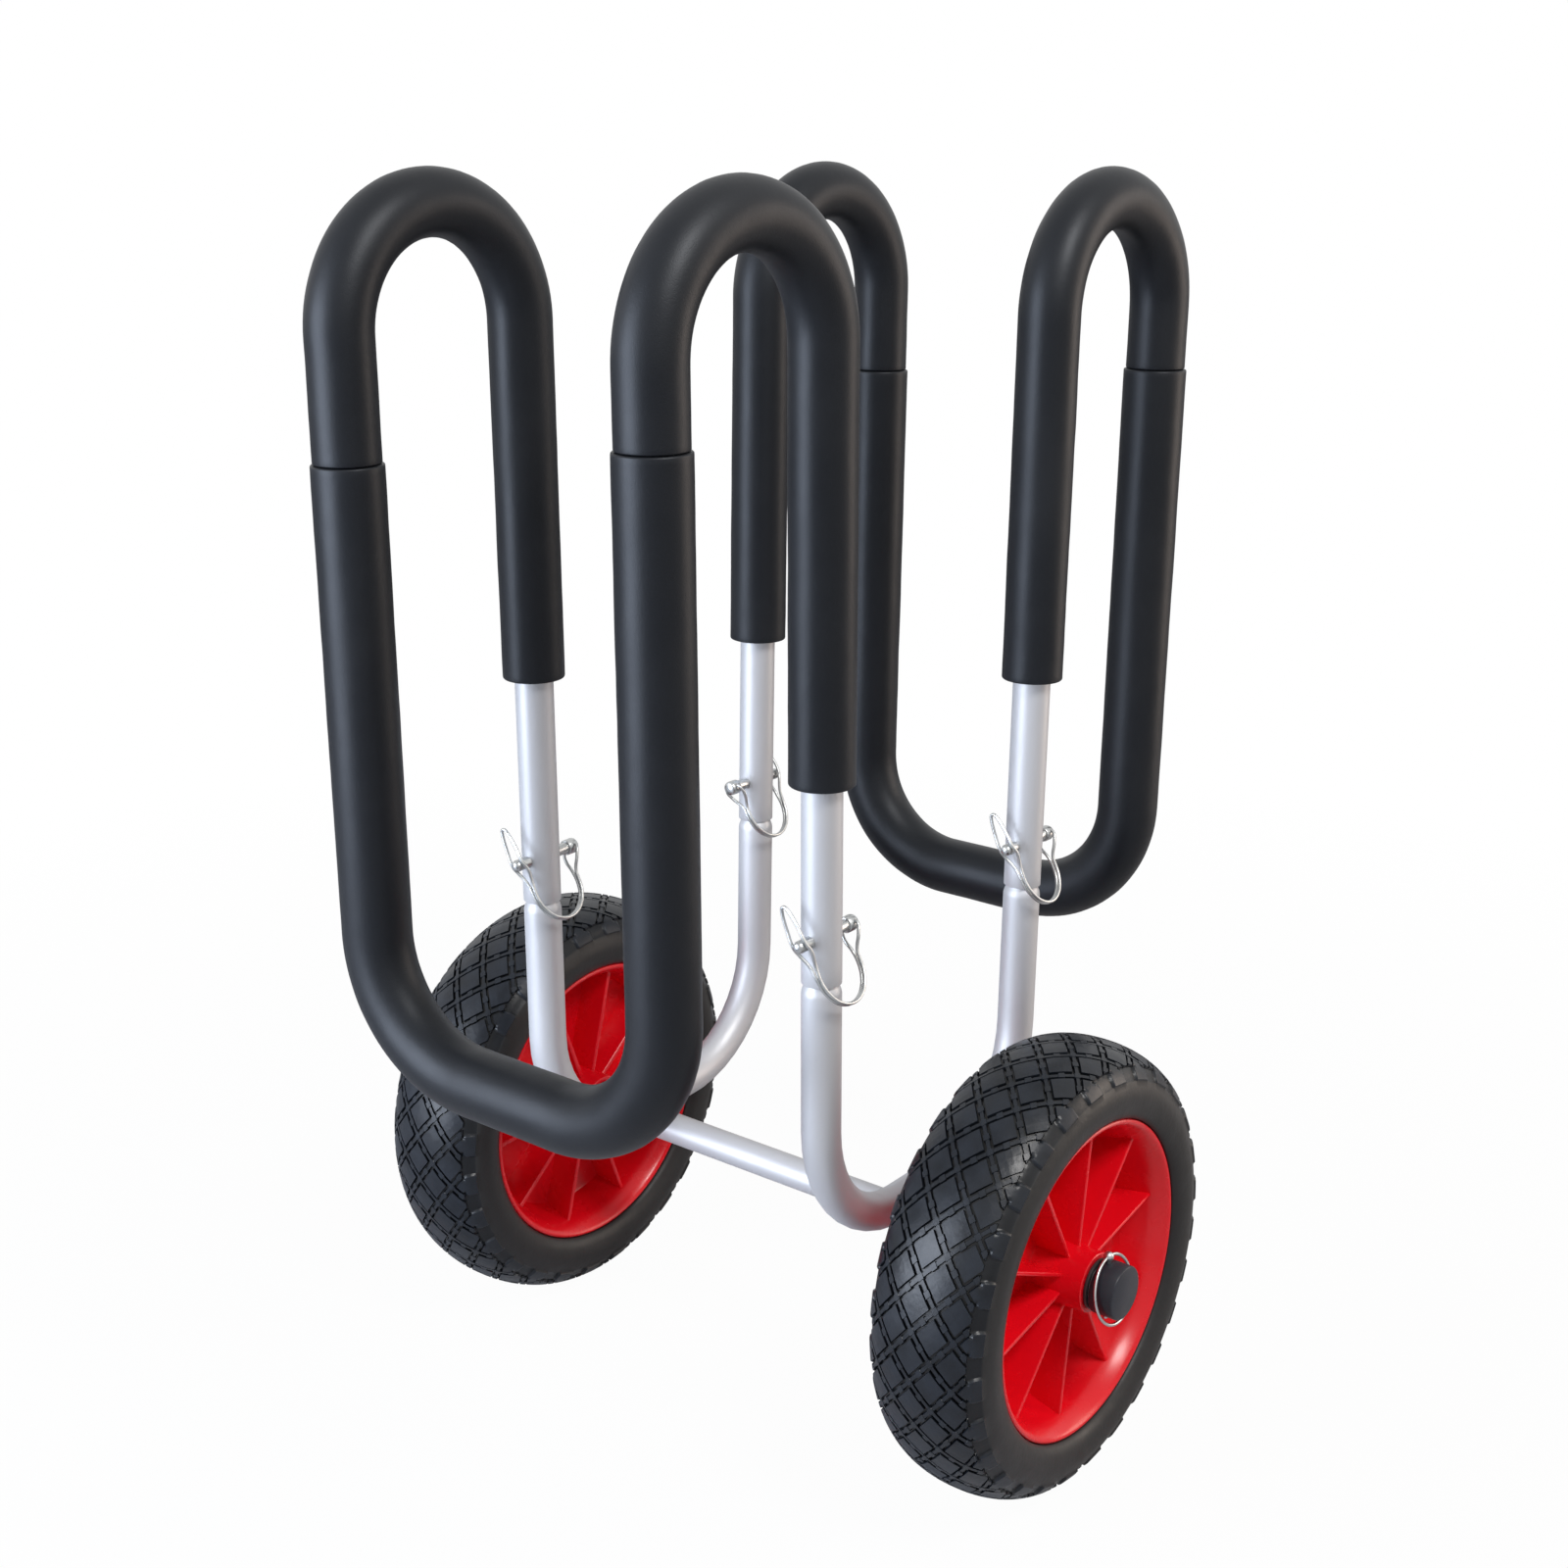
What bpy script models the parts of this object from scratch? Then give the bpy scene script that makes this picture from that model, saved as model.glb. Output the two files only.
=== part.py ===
"""Two-wheeled trolley that carries a kayak or boards on edge between padded hangers.

Lengths are metres and +Z is up. The origin is on the ground under the middle of the axle,
+X runs along the axle to the right wheel, and +Y points to the back.
"""

import math

import bmesh
import bpy
from mathutils import Matrix, Vector

# Bent tubes
TUBE_RADIUS = 0.0127
TUBE_WALL = 0.0015
TUBE_SIDES = 10
BEND_STEPS = 5
FRAME_X = 0.1185
POST_Y = 0.1155
JOINT_Z = 0.3625
LEAN = math.radians(0.8)
BASE_BEND = 0.086
SHOULDER = 0.007
JOINT_SPIGOT = 0.062
SEAM_SPIGOT = 0.036

# Padded hangers, measured from the joint of their posts
ARCH_REACH = 0.146
ARCH_RISE = 0.459
CRADLE_DROP = 0.0579
CRADLE_BEND = 0.081
ARCH_FOAM_RADIUS = 0.0205
CRADLE_FOAM_RADIUS = 0.0219
PIN_RISE = 0.030

# Axle, and what is on it
AXLE_RADIUS = 0.0111
AXLE_WALL = 0.002
FRAME_TO_TYRE = 0.0403
WASHER_RADIUS = 0.015
WASHER_THICKNESS = 0.0015
COLLAR_RADIUS = 0.0155
COLLAR_LENGTH = 0.012
CAP_RADIUS = 0.018
CAP_LENGTH = 0.0171
CAP_END = 0.0028
CAP_CHAMFER = 0.0012

# Wheels
WHEEL_FACETS = 30
RIM_LIP_RADIUS = 0.1078
RIM_HALF_WIDTH = 0.0366
RIM_LIP_EDGE = 0.0038
RIM_LIP_DEPTH = 0.0031
RIM_FLANK_DROP = 0.0030
RIM_FLANK_WIDTH = 0.0025
RIM_SEAT_DROP = 0.0058
RIM_SEAT_INSET = 0.0106
RIM_WALL = 0.004
RIM_TAPER = 0.0060
WEB_HALF = 0.0025
RIM_DISH = 0.0091
HUB_RADIUS = 0.0225
HUB_TAPER = 0.0025
HUB_BEYOND_RIM = 0.0044
RIB_COUNT = 10
RIB_THICKNESS = 0.0024
RIB_DROP = 0.001
RIB_ROOT = 0.004
TYRE_HEIGHT = 0.0446
TYRE_BULGE = 0.0069
TYRE_CROWN = 0.0273
TYRE_SQUARENESS = 2.19
TYRE_CROWN_POINTS = 8
TYRE_OVER_LIP = 0.0005
BUSH_WALL = 0.0025
BUSH_LENGTH = 0.018
BUSH_FLANGE = 0.002
BUSH_FLANGE_RADIUS = 0.017

# Lock pins: how far nose and head stand out of the post, and the wire bow hinged in the head
PIN_RADIUS = 0.004
PIN_NOSE_REACH = 0.0128
PIN_NOSE = 0.003
PIN_HEAD_REACH = 0.0108
PIN_HEAD_LENGTH = 0.009
PIN_HEAD_RADIUS = 0.00525
WIRE_SEAT = 0.002
BOW_LEAN = math.radians(30)
BOW_WIRE = 0.0011
BOW_MIDDLE = 0.0025
BOW_CLEARANCE = 0.0078
BOW_STEPS = 6

# The bow's depths below its pin: where its strands leave the head, come together, run
# round the post, reach deepest and part again. Above the pin, how far its strands run
# side by side, and how far its finger tab rises
BOW_SPREAD = 0.0069
BOW_JOIN = 0.0172
BOW_START = 0.023
BOW_DEPTH = 0.0445
BOW_PART = 0.0138
TAB_INSET = 0.004
TAB_NECK = 0.012
TAB_RISE = 0.026
TAB_HALF_WIDTH = 0.003

# Clips that hold the wheels on
CLIP_FROM_END = 0.0135
CLIP_RADIUS = 0.002
CLIP_HEAD_RADIUS = 0.0034
CLIP_HEAD_LIFT = 0.004
CLIP_HEAD_STEPS = 5
CLIP_TIP_REACH = 0.0045
RING_CLEARANCE = 0.0045
RING_WIRE = 0.0011
RING_LEAN = math.radians(12)
RING_STEPS = 18
RING_START = math.radians(12)

# The weld bead between each base frame and the axle
WELD_LOOP = 0.008
WELD_BEAD = 0.0028
WELD_SADDLE = 0.0016

# The space between pieces that touch, and how round pieces are drawn
GAP = 0.0003
MERGE = 0.000003
SHARP_ANGLE = math.radians(40)
PIECE_FACETS = 16
PIN_FACETS = 10
WIRE_SIDES = 6
CUT_THROUGH = 6

BARREL_HALF = RIM_HALF_WIDTH - RIM_DISH
RIB_HALF_HEIGHT = BARREL_HALF - RIB_DROP
HUB_HALF = RIM_HALF_WIDTH + HUB_BEYOND_RIM
TYRE_HALF_WIDTH = RIM_HALF_WIDTH + TYRE_BULGE
WHEEL_RADIUS = RIM_LIP_RADIUS + TYRE_HEIGHT
AXLE_Z = WHEEL_RADIUS
WHEEL_X = FRAME_X + TUBE_RADIUS + FRAME_TO_TYRE + TYRE_HALF_WIDTH
FLANGE_OUT = HUB_HALF + GAP + BUSH_FLANGE
WASHER_OUT = FLANGE_OUT + GAP + WASHER_THICKNESS
CAP_START = WHEEL_X + WASHER_OUT + GAP
AXLE_HALF = CAP_START + CAP_LENGTH - CAP_END - GAP
BASE_Z = AXLE_Z + AXLE_RADIUS + GAP + TUBE_RADIUS
PIN_TIP = TUBE_RADIUS + PIN_NOSE_REACH
PIN_HEAD_START = TUBE_RADIUS + PIN_HEAD_REACH
PIN_HINGE = PIN_HEAD_START + PIN_HEAD_LENGTH / 2
BOW_HALF_WIDTH = TUBE_RADIUS + BOW_CLEARANCE
TAB_PLACE = PIN_TIP - TAB_INSET
CLIP_X = CAP_START + CAP_LENGTH - CLIP_FROM_END
CLIP_HINGE_RISE = CAP_RADIUS + CLIP_HEAD_LIFT
CLIP_TIP_DROP = CAP_RADIUS + CLIP_TIP_REACH
RING_RADIUS = CAP_RADIUS + RING_CLEARANCE

# Each corner: how high its sleeve starts and meets the next one, and which way the head
# of its lock pin points
CORNERS = {
    "front_left": (0.1555, 0.3141, "back"),
    "front_right": (0.1273, 0.3435, "back"),
    "back_left": (0.1395, 0.3265, "front"),
    "back_right": (0.1466, 0.3435, "back"),
}
RIB_ANGLES = {"right": math.radians(7), "left": math.radians(-15)}


def clear_scene():
    for obj in list(bpy.data.objects):
        bpy.data.objects.remove(obj)


def new_collection(name):
    made = bpy.data.collections.new(name)
    bpy.context.scene.collection.children.link(made)
    return made


def new_material(name, colour, roughness, metallic=0.0):
    made = bpy.data.materials.new(name)
    made.use_nodes = True
    made.diffuse_color = (*colour, 1.0)
    shader = made.node_tree.nodes["Principled BSDF"]
    shader.inputs["Base Color"].default_value = (*colour, 1.0)
    shader.inputs["Roughness"].default_value = roughness
    shader.inputs["Metallic"].default_value = metallic
    return made


def inner_apothem(radius, wall):
    """How far the flats of a faceted tube's bore are from its middle."""
    return radius * math.cos(math.pi / TUBE_SIDES) - wall


def bore(radius, facets):
    """The corner radius of a faceted hole that clears a round piece of this radius."""
    return (radius + GAP) / math.cos(math.pi / facets)


def place(obj, material, parent=None, matrix=None):
    """Puts a new piece into the model, under its parent, with its material."""
    MODEL.objects.link(obj)
    obj.data.materials.append(material)
    obj.parent = parent
    obj.matrix_local = matrix or Matrix()
    return obj


def as_cutter(obj, parent=None, matrix=None):
    """Keeps an object out of the model, as a guide for a Boolean."""
    for home in list(obj.users_collection):
        home.objects.unlink(obj)
    CUTTERS.objects.link(obj)
    obj.hide_render = True
    obj.display_type = "WIRE"
    obj.parent = parent
    obj.matrix_local = matrix or Matrix()
    return obj


def boolean(obj, other, operation):
    cut = obj.modifiers.new(other.name, "BOOLEAN")
    cut.operation = operation
    cut.object = other
    return obj


def bent_path(corners, radius):
    """Points along a tube bent round each inner corner with the same radius."""
    points = [corners[0]]
    for before, corner, after in zip(corners, corners[1:], corners[2:]):
        along = (corner - before).normalized()
        onward = (after - corner).normalized()
        turn = along.angle(onward)
        inward = (onward - along * along.dot(onward)).normalized()
        start = corner - along * radius * math.tan(turn / 2)
        centre = start + inward * radius
        for step in range(BEND_STEPS + 1):
            angle = turn * step / BEND_STEPS
            points.append(centre + radius * (along * math.sin(angle) - inward * math.cos(angle)))
    points.append(corners[-1])
    kept = points[:1]
    for point in points[1:]:
        if (point - kept[-1]).length > GAP:
            kept.append(point)
    return kept


def swage(path, length):
    """Narrows both ends of a path to spigots that slide into the next tubes."""
    share = (inner_apothem(TUBE_RADIUS, TUBE_WALL) - GAP) / TUBE_RADIUS
    points = list(path)
    radii = [1.0] * len(points)
    for at_start in (True, False):
        end, inner = (points[0], points[1]) if at_start else (points[-1], points[-2])
        outward = (end - inner).normalized()
        added = [end + outward * SHOULDER, end + outward * (SHOULDER + length)]
        if at_start:
            points = added[::-1] + points
            radii = [share, share] + radii
        else:
            points = points + added
            radii = radii + [share, share]
    return points, radii


def tube(name, path, radius, material, parent=None, wall=None, radii=None, sides=TUBE_SIDES):
    """A round bar along a path, or a hollow tube where it has a wall."""
    data = bpy.data.curves.new(name, "CURVE")
    data.dimensions = "3D"
    spline = data.splines.new("POLY")
    spline.points.add(len(path) - 1)
    for point, where, share in zip(spline.points, path, radii or [1.0] * len(path)):
        point.co = (*where, 1.0)
        point.radius = share
    data.bevel_depth = radius
    data.bevel_resolution = (sides - 4) // 2
    data.use_fill_caps = wall is None
    obj = place(bpy.data.objects.new(name, data), material, parent)
    if wall is not None:
        shell = obj.modifiers.new("Wall", "SOLIDIFY")
        shell.thickness = wall
        shell.offset = -1
        shell.use_even_offset = True
    return obj


def made_mesh(obj):
    """The same piece as a smooth mesh, so that a Boolean can cut or join it."""
    bpy.context.view_layer.update()
    evaluated = obj.evaluated_get(bpy.context.evaluated_depsgraph_get())
    data = bpy.data.meshes.new_from_object(evaluated)
    shape = bmesh.new()
    shape.from_mesh(data)
    bmesh.ops.remove_doubles(shape, verts=shape.verts, dist=MERGE)
    shape.to_mesh(data)
    shape.free()
    data.shade_smooth()
    data.set_sharp_from_angle(angle=SHARP_ANGLE)
    name, parent, matrix = obj.name, obj.parent, obj.matrix_local.copy()
    homes = list(obj.users_collection)
    bpy.data.objects.remove(obj)
    mesh_object = bpy.data.objects.new(name, data)
    for home in homes:
        home.objects.link(mesh_object)
    mesh_object.parent = parent
    mesh_object.matrix_local = matrix
    return mesh_object


def turned(name, profile, material, parent, matrix=None, facets=PIECE_FACETS, ring=True):
    """A profile of (radius, height) points turned about Z, from its top down its outer side."""
    data = bpy.data.meshes.new(name)
    count = len(profile)
    edges = [(i, (i + 1) % count) for i in range(count if ring else count - 1)]
    data.from_pydata([(radius, 0.0, height) for radius, height in profile], edges, [])
    obj = place(bpy.data.objects.new(name, data), material, parent, matrix)
    spin = obj.modifiers.new("Turn", "SCREW")
    spin.steps = facets
    spin.render_steps = facets
    spin.use_merge_vertices = True
    spin.merge_threshold = MERGE
    return made_mesh(obj)


def hole_cutter(name, radius, across, parent, matrix=None):
    """A bar along Z that clears a round piece of this radius, through one this far across."""
    data = bpy.data.meshes.new(name)
    shape = bmesh.new()
    wide = bore(radius, PIN_FACETS)
    bmesh.ops.create_cone(
        shape,
        cap_ends=True,
        segments=PIN_FACETS,
        radius1=wide,
        radius2=wide,
        depth=CUT_THROUGH * across,
    )
    shape.to_mesh(data)
    shape.free()
    return as_cutter(bpy.data.objects.new(name, data), parent, matrix)


def new_frame(name, parent=None, matrix=None):
    """An empty that carries pieces."""
    obj = bpy.data.objects.new(name, None)
    MODEL.objects.link(obj)
    obj.parent = parent
    obj.matrix_local = matrix or Matrix()
    return obj


def hanger_frame(end_name, end):
    """Stands at the joints of one end's posts and leans outward with them."""
    facing = Matrix.Rotation(math.pi if end > 0 else 0.0, 4, "Z")
    matrix = Matrix.Translation((0.0, end * POST_Y, JOINT_Z)) @ facing
    return new_frame(f"{end_name}_hanger", None, matrix @ Matrix.Rotation(LEAN, 4, "X"))


def pin_frame(name, hanger, local_x, reach, head):
    """Z runs along the lock pin to its head, and X from the pin to the bottom of its bow."""
    to_head = Vector((0.0, head, 0.0))
    to_bow = Vector((reach * math.sin(BOW_LEAN), 0.0, -math.cos(BOW_LEAN)))
    turn = Matrix((to_bow, to_head.cross(to_bow), to_head)).transposed().to_4x4()
    return new_frame(name, hanger, Matrix.Translation((local_x, 0.0, PIN_RISE)) @ turn)


def build_lock_pin(corner, frame):
    """A steel pin with a head, a rounded nose and a cross hole for its bow."""
    head_end = PIN_HEAD_START + PIN_HEAD_LENGTH
    chamfer = PIN_HEAD_RADIUS - PIN_RADIUS
    profile = [
        (0.0, head_end),
        (PIN_RADIUS, head_end),
        (PIN_HEAD_RADIUS, head_end - chamfer),
        (PIN_HEAD_RADIUS, PIN_HEAD_START),
        (PIN_RADIUS, PIN_HEAD_START),
        (PIN_RADIUS, PIN_NOSE - PIN_TIP),
        (PIN_RADIUS / 2, -PIN_TIP),
        (0.0, -PIN_TIP),
    ]
    pin = turned(f"{corner}_lock_pin", profile, ZINC, frame, facets=PIN_FACETS, ring=False)
    across = Matrix.Translation((0.0, 0.0, PIN_HINGE)) @ Matrix.Rotation(math.pi / 2, 4, "X")
    hole = hole_cutter(f"{corner}_bow_hole", BOW_WIRE, PIN_HEAD_RADIUS, frame, across)
    return boolean(pin, hole, "DIFFERENCE")


def bow_strand():
    """Half of the bow: from the pin's cross hole round the post, over the nose, to the tab."""
    beside = BOW_WIRE + GAP / 2
    at_head = PIN_HEAD_RADIUS + BOW_WIRE + GAP
    at_pin = PIN_RADIUS + BOW_WIRE + GAP
    head_side, nose_side = BOW_MIDDLE + BOW_HALF_WIDTH, BOW_MIDDLE - BOW_HALF_WIDTH
    points = [
        (0.0, PIN_HEAD_RADIUS - WIRE_SEAT, PIN_HINGE),
        (0.0, at_head, PIN_HINGE),
        (BOW_SPREAD, at_head, (PIN_HINGE + head_side) / 2),
        (BOW_JOIN, beside + BOW_WIRE / 2, head_side),
    ]
    for step in range(BOW_STEPS + 1):
        angle = math.pi * step / BOW_STEPS
        down = BOW_START + (BOW_DEPTH - BOW_START) * math.sin(angle)
        points.append((down, beside, BOW_MIDDLE + BOW_HALF_WIDTH * math.cos(angle)))
    points += [
        (BOW_PART, beside + BOW_WIRE, nose_side),
        (PIN_RADIUS, at_pin, (nose_side - TAB_PLACE) / 2),
        (-TAB_NECK, at_pin, -TAB_PLACE),
        (BOW_WIRE - TAB_RISE, TAB_HALF_WIDTH, -TAB_PLACE),
        (-TAB_RISE, TAB_HALF_WIDTH / 2, -TAB_PLACE),
    ]
    return [Vector(point) - Vector((0.0, 0.0, PIN_HINGE)) for point in points]


def build_bow(corner, frame):
    """One wire bent double, which swings about the cross hole in the pin's head."""
    strand = bow_strand()
    other = [Vector((point.x, -point.y, point.z)) for point in reversed(strand)]
    bow = tube(f"{corner}_pin_bow", strand + other, BOW_WIRE, ZINC, frame, sides=WIRE_SIDES)
    bow.location = (0.0, 0.0, PIN_HINGE)
    return bow


def build_arch(corner, hanger, local_x, sleeve_start, seam, hole):
    """The tube that rises from a post and turns over to the outer leg, with its foam sleeve."""
    outer = Vector((local_x, -ARCH_REACH, 0.0))
    top = Vector((0.0, 0.0, ARCH_RISE))
    post = Vector((local_x, 0.0, 0.0))
    joint = Vector((0.0, 0.0, seam + GAP / 2))

    def path(start, end):
        return bent_path([post + start, post + top, outer + top, outer + end], ARCH_REACH / 2)

    foot = Vector((0.0, 0.0, GAP))
    bare = tube(f"{corner}_arch_tube", path(foot, joint), TUBE_RADIUS, ALUMINIUM, hanger, TUBE_WALL)
    boolean(made_mesh(bare), hole, "DIFFERENCE")
    sleeve = path(Vector((0.0, 0.0, sleeve_start)), joint)
    wall = inner_apothem(ARCH_FOAM_RADIUS, TUBE_RADIUS + GAP)
    tube(f"{corner}_arch_foam", sleeve, ARCH_FOAM_RADIUS, FOAM, hanger, wall)


def build_cradle(end_name, hanger, seams):
    """The padded tube that hangs from two arches and carries the load on its flat run."""
    left, right = seams
    corners = [
        Vector((-FRAME_X, -ARCH_REACH, left)),
        Vector((-FRAME_X, -ARCH_REACH, -CRADLE_DROP)),
        Vector((FRAME_X, -ARCH_REACH, -CRADLE_DROP)),
        Vector((FRAME_X, -ARCH_REACH, right)),
    ]
    down = Vector((0.0, 0.0, SHOULDER + GAP / 2))
    shortened = [corners[0] - down, *corners[1:3], corners[3] - down]
    path, radii = swage(bent_path(shortened, CRADLE_BEND), SEAM_SPIGOT)
    tube(f"{end_name}_cradle_tube", path, TUBE_RADIUS, ALUMINIUM, hanger, TUBE_WALL, radii)
    gap = Vector((0.0, 0.0, GAP / 2))
    sleeve = bent_path([corners[0] - gap, *corners[1:3], corners[3] - gap], CRADLE_BEND)
    wall = inner_apothem(CRADLE_FOAM_RADIUS, TUBE_RADIUS + GAP)
    tube(f"{end_name}_cradle_foam", sleeve, CRADLE_FOAM_RADIUS, FOAM, hanger, wall)


def build_base_frame(side_name, side, holes):
    """A tube bent into a U that stands on the axle, its legs swaged to fit into the hangers."""
    rise = JOINT_Z - SHOULDER - GAP
    top_y = POST_Y + (rise - JOINT_Z) * math.tan(LEAN)
    foot_y = POST_Y + (BASE_Z - JOINT_Z) * math.tan(LEAN)
    x = side * FRAME_X
    corners = [
        Vector((x, -top_y, rise)),
        Vector((x, -foot_y, BASE_Z)),
        Vector((x, foot_y, BASE_Z)),
        Vector((x, top_y, rise)),
    ]
    path, radii = swage(bent_path(corners, BASE_BEND), JOINT_SPIGOT)
    name = f"{side_name}_base_frame"
    frame = made_mesh(tube(name, path, TUBE_RADIUS, ALUMINIUM, None, TUBE_WALL, radii))
    boolean(frame, build_weld(side_name, x), "UNION")
    for hole in holes:
        boolean(frame, hole, "DIFFERENCE")


def build_weld(side_name, x):
    """The bead laid round the spot where the frame stands on the axle."""
    middle = AXLE_Z + AXLE_RADIUS + GAP / 2
    count = 2 * BEND_STEPS
    path = []
    for step in range(count):
        angle = 2 * math.pi * step / count
        height = middle + WELD_SADDLE * math.cos(2 * angle)
        path.append(Vector((x + WELD_LOOP * math.cos(angle), WELD_LOOP * math.sin(angle), height)))
    bead = tube(f"{side_name}_weld", path, WELD_BEAD, ALUMINIUM, sides=WIRE_SIDES)
    bead.data.splines[0].use_cyclic_u = True
    bead = as_cutter(made_mesh(bead))
    across = Matrix.Translation((x, 0.0, AXLE_Z)) @ Matrix.Rotation(math.pi / 2, 4, "Y")
    room = hole_cutter(f"{side_name}_axle_room", AXLE_RADIUS, WELD_LOOP, None, across)
    return boolean(bead, room, "DIFFERENCE")


def build_axle(clip_holes):
    profile = [
        (AXLE_RADIUS, AXLE_HALF),
        (AXLE_RADIUS, -AXLE_HALF),
        (AXLE_RADIUS - AXLE_WALL, -AXLE_HALF),
        (AXLE_RADIUS - AXLE_WALL, AXLE_HALF),
    ]
    along = Matrix.Translation((0.0, 0.0, AXLE_Z)) @ Matrix.Rotation(math.pi / 2, 4, "Y")
    axle = turned("axle_tube", profile, ALUMINIUM, None, along)
    for hole in clip_holes:
        boolean(axle, hole, "DIFFERENCE")


def ring_profile(outer, inner, top, bottom):
    return [(outer, top), (outer, bottom), (inner, bottom), (inner, top)]


def build_rim(side_name, wheel):
    """A moulded wheel: lips, a tapered barrel, a middle web, a long hub and radial ribs."""
    lip, seat = RIM_LIP_RADIUS, RIM_LIP_RADIUS - RIM_SEAT_DROP
    barrel = seat - RIM_WALL
    hole = bore(AXLE_RADIUS + GAP + BUSH_WALL, PIECE_FACETS)
    flank = RIM_HALF_WIDTH - RIM_LIP_DEPTH
    outside = [
        (lip, RIM_HALF_WIDTH),
        (lip, flank),
        (lip - RIM_FLANK_DROP, flank - RIM_FLANK_WIDTH),
        (seat, RIM_HALF_WIDTH - RIM_SEAT_INSET),
    ]
    inside = [
        (lip - RIM_LIP_EDGE, RIM_HALF_WIDTH),
        (barrel, BARREL_HALF),
        (barrel - RIM_TAPER, WEB_HALF),
        (HUB_RADIUS, WEB_HALF),
        (HUB_RADIUS - HUB_TAPER, HUB_HALF),
        (hole, HUB_HALF),
    ]
    profile = outside + [(radius, -height) for radius, height in reversed(outside)]
    profile += [(radius, -height) for radius, height in inside] + inside[::-1]
    spin = Matrix.Rotation(math.pi - RIB_ANGLES[side_name], 4, "Z")
    rim = turned(f"{side_name}_rim", profile, RED, wheel, spin, WHEEL_FACETS)
    ribs = build_ribs(side_name, wheel, spin, HUB_RADIUS - RIB_ROOT, barrel + RIM_WALL / 2)
    return boolean(rim, ribs, "UNION")


def build_ribs(side_name, wheel, spin, start, end):
    """One bar for each rib, deep enough to stand out of both faces of the web."""
    data = bpy.data.meshes.new(f"{side_name}_ribs")
    shape = bmesh.new()
    size = Matrix.Diagonal((end - start, RIB_THICKNESS, 2 * RIB_HALF_HEIGHT, 1.0))
    out = Matrix.Translation(((start + end) / 2, 0.0, 0.0))
    for index in range(RIB_COUNT):
        turn = Matrix.Rotation(2 * math.pi * index / RIB_COUNT, 4, "Z")
        bmesh.ops.create_cube(shape, size=1.0, matrix=turn @ out @ size)
    shape.to_mesh(data)
    shape.free()
    return as_cutter(bpy.data.objects.new(f"{side_name}_ribs", data), wheel, spin)


def build_tyre(side_name, wheel):
    """A solid foam tyre, square-shouldered, seated between the lips of the rim."""
    flats = math.cos(math.pi / WHEEL_FACETS)
    crown = []
    for index in range(TYRE_CROWN_POINTS // 2):
        angle = math.pi / 2 * (2 * index + 1) / (TYRE_CROWN_POINTS - 1)
        power = 2 / TYRE_SQUARENESS
        across = TYRE_HALF_WIDTH * math.sin(angle) ** power
        drop = TYRE_CROWN * (1 - max(math.cos(angle), 0.0) ** power) if index else 0.0
        crown.append(((WHEEL_RADIUS - drop) / flats, across))
    lip, seat = RIM_LIP_RADIUS, RIM_LIP_RADIUS - RIM_SEAT_DROP
    flank = RIM_HALF_WIDTH - RIM_LIP_DEPTH
    bead = [
        (bore(lip, WHEEL_FACETS), RIM_HALF_WIDTH + TYRE_OVER_LIP),
        (bore(lip, WHEEL_FACETS), flank),
        (bore(lip - RIM_FLANK_DROP, WHEEL_FACETS), flank - RIM_FLANK_WIDTH),
        (bore(seat, WHEEL_FACETS), RIM_HALF_WIDTH - RIM_SEAT_INSET),
    ]
    half = crown + bead
    profile = [(radius, across) for radius, across in reversed(half)]
    profile += [(radius, -across) for radius, across in half]
    spin = Matrix.Rotation(math.pi / WHEEL_FACETS, 4, "Z")
    turned(f"{side_name}_tyre", profile, RUBBER, wheel, spin, WHEEL_FACETS)


def build_wheel(side_name, axis):
    wheel = new_frame(f"{side_name}_wheel", axis, Matrix.Translation((0.0, 0.0, WHEEL_X)))
    build_tyre(side_name, wheel)
    build_rim(side_name, wheel)
    outer, inner = AXLE_RADIUS + GAP + BUSH_WALL, bore(AXLE_RADIUS, PIECE_FACETS)
    face = HUB_HALF + GAP
    profile = [
        (BUSH_FLANGE_RADIUS, face + BUSH_FLANGE),
        (BUSH_FLANGE_RADIUS, face),
        (outer, face),
        (outer, HUB_HALF - BUSH_LENGTH),
        (inner, HUB_HALF - BUSH_LENGTH),
        (inner, face + BUSH_FLANGE),
    ]
    turned(f"{side_name}_outer_bush", profile, NYLON, wheel)
    turned(f"{side_name}_inner_bush", profile, NYLON, wheel, Matrix.Rotation(math.pi, 4, "X"))


def build_axle_end(side_name, axis, hole):
    """The washers, the stop collar inside the wheel and the cap outside it."""
    inner = bore(AXLE_RADIUS, PIECE_FACETS)
    near, far = FLANGE_OUT + GAP, WASHER_OUT
    for name, top, bottom in (
        (f"{side_name}_outer_washer", WHEEL_X + far, WHEEL_X + near),
        (f"{side_name}_inner_washer", WHEEL_X - near, WHEEL_X - far),
    ):
        turned(name, ring_profile(WASHER_RADIUS, inner, top, bottom), ZINC, axis)
    collar_top = WHEEL_X - WASHER_OUT - GAP
    collar = ring_profile(COLLAR_RADIUS, inner, collar_top, collar_top - COLLAR_LENGTH)
    turned(f"{side_name}_stop_collar", collar, ALUMINIUM, axis)
    end = CAP_START + CAP_LENGTH
    profile = [
        (0.0, end),
        (CAP_RADIUS - CAP_CHAMFER, end),
        (CAP_RADIUS, end - CAP_CHAMFER),
        (CAP_RADIUS, CAP_START),
        (inner, CAP_START),
        (inner, end - CAP_END),
        (0.0, end - CAP_END),
    ]
    cap = turned(f"{side_name}_axle_cap", profile, BLACK_PLASTIC, axis, ring=False)
    boolean(cap, hole, "DIFFERENCE")


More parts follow.
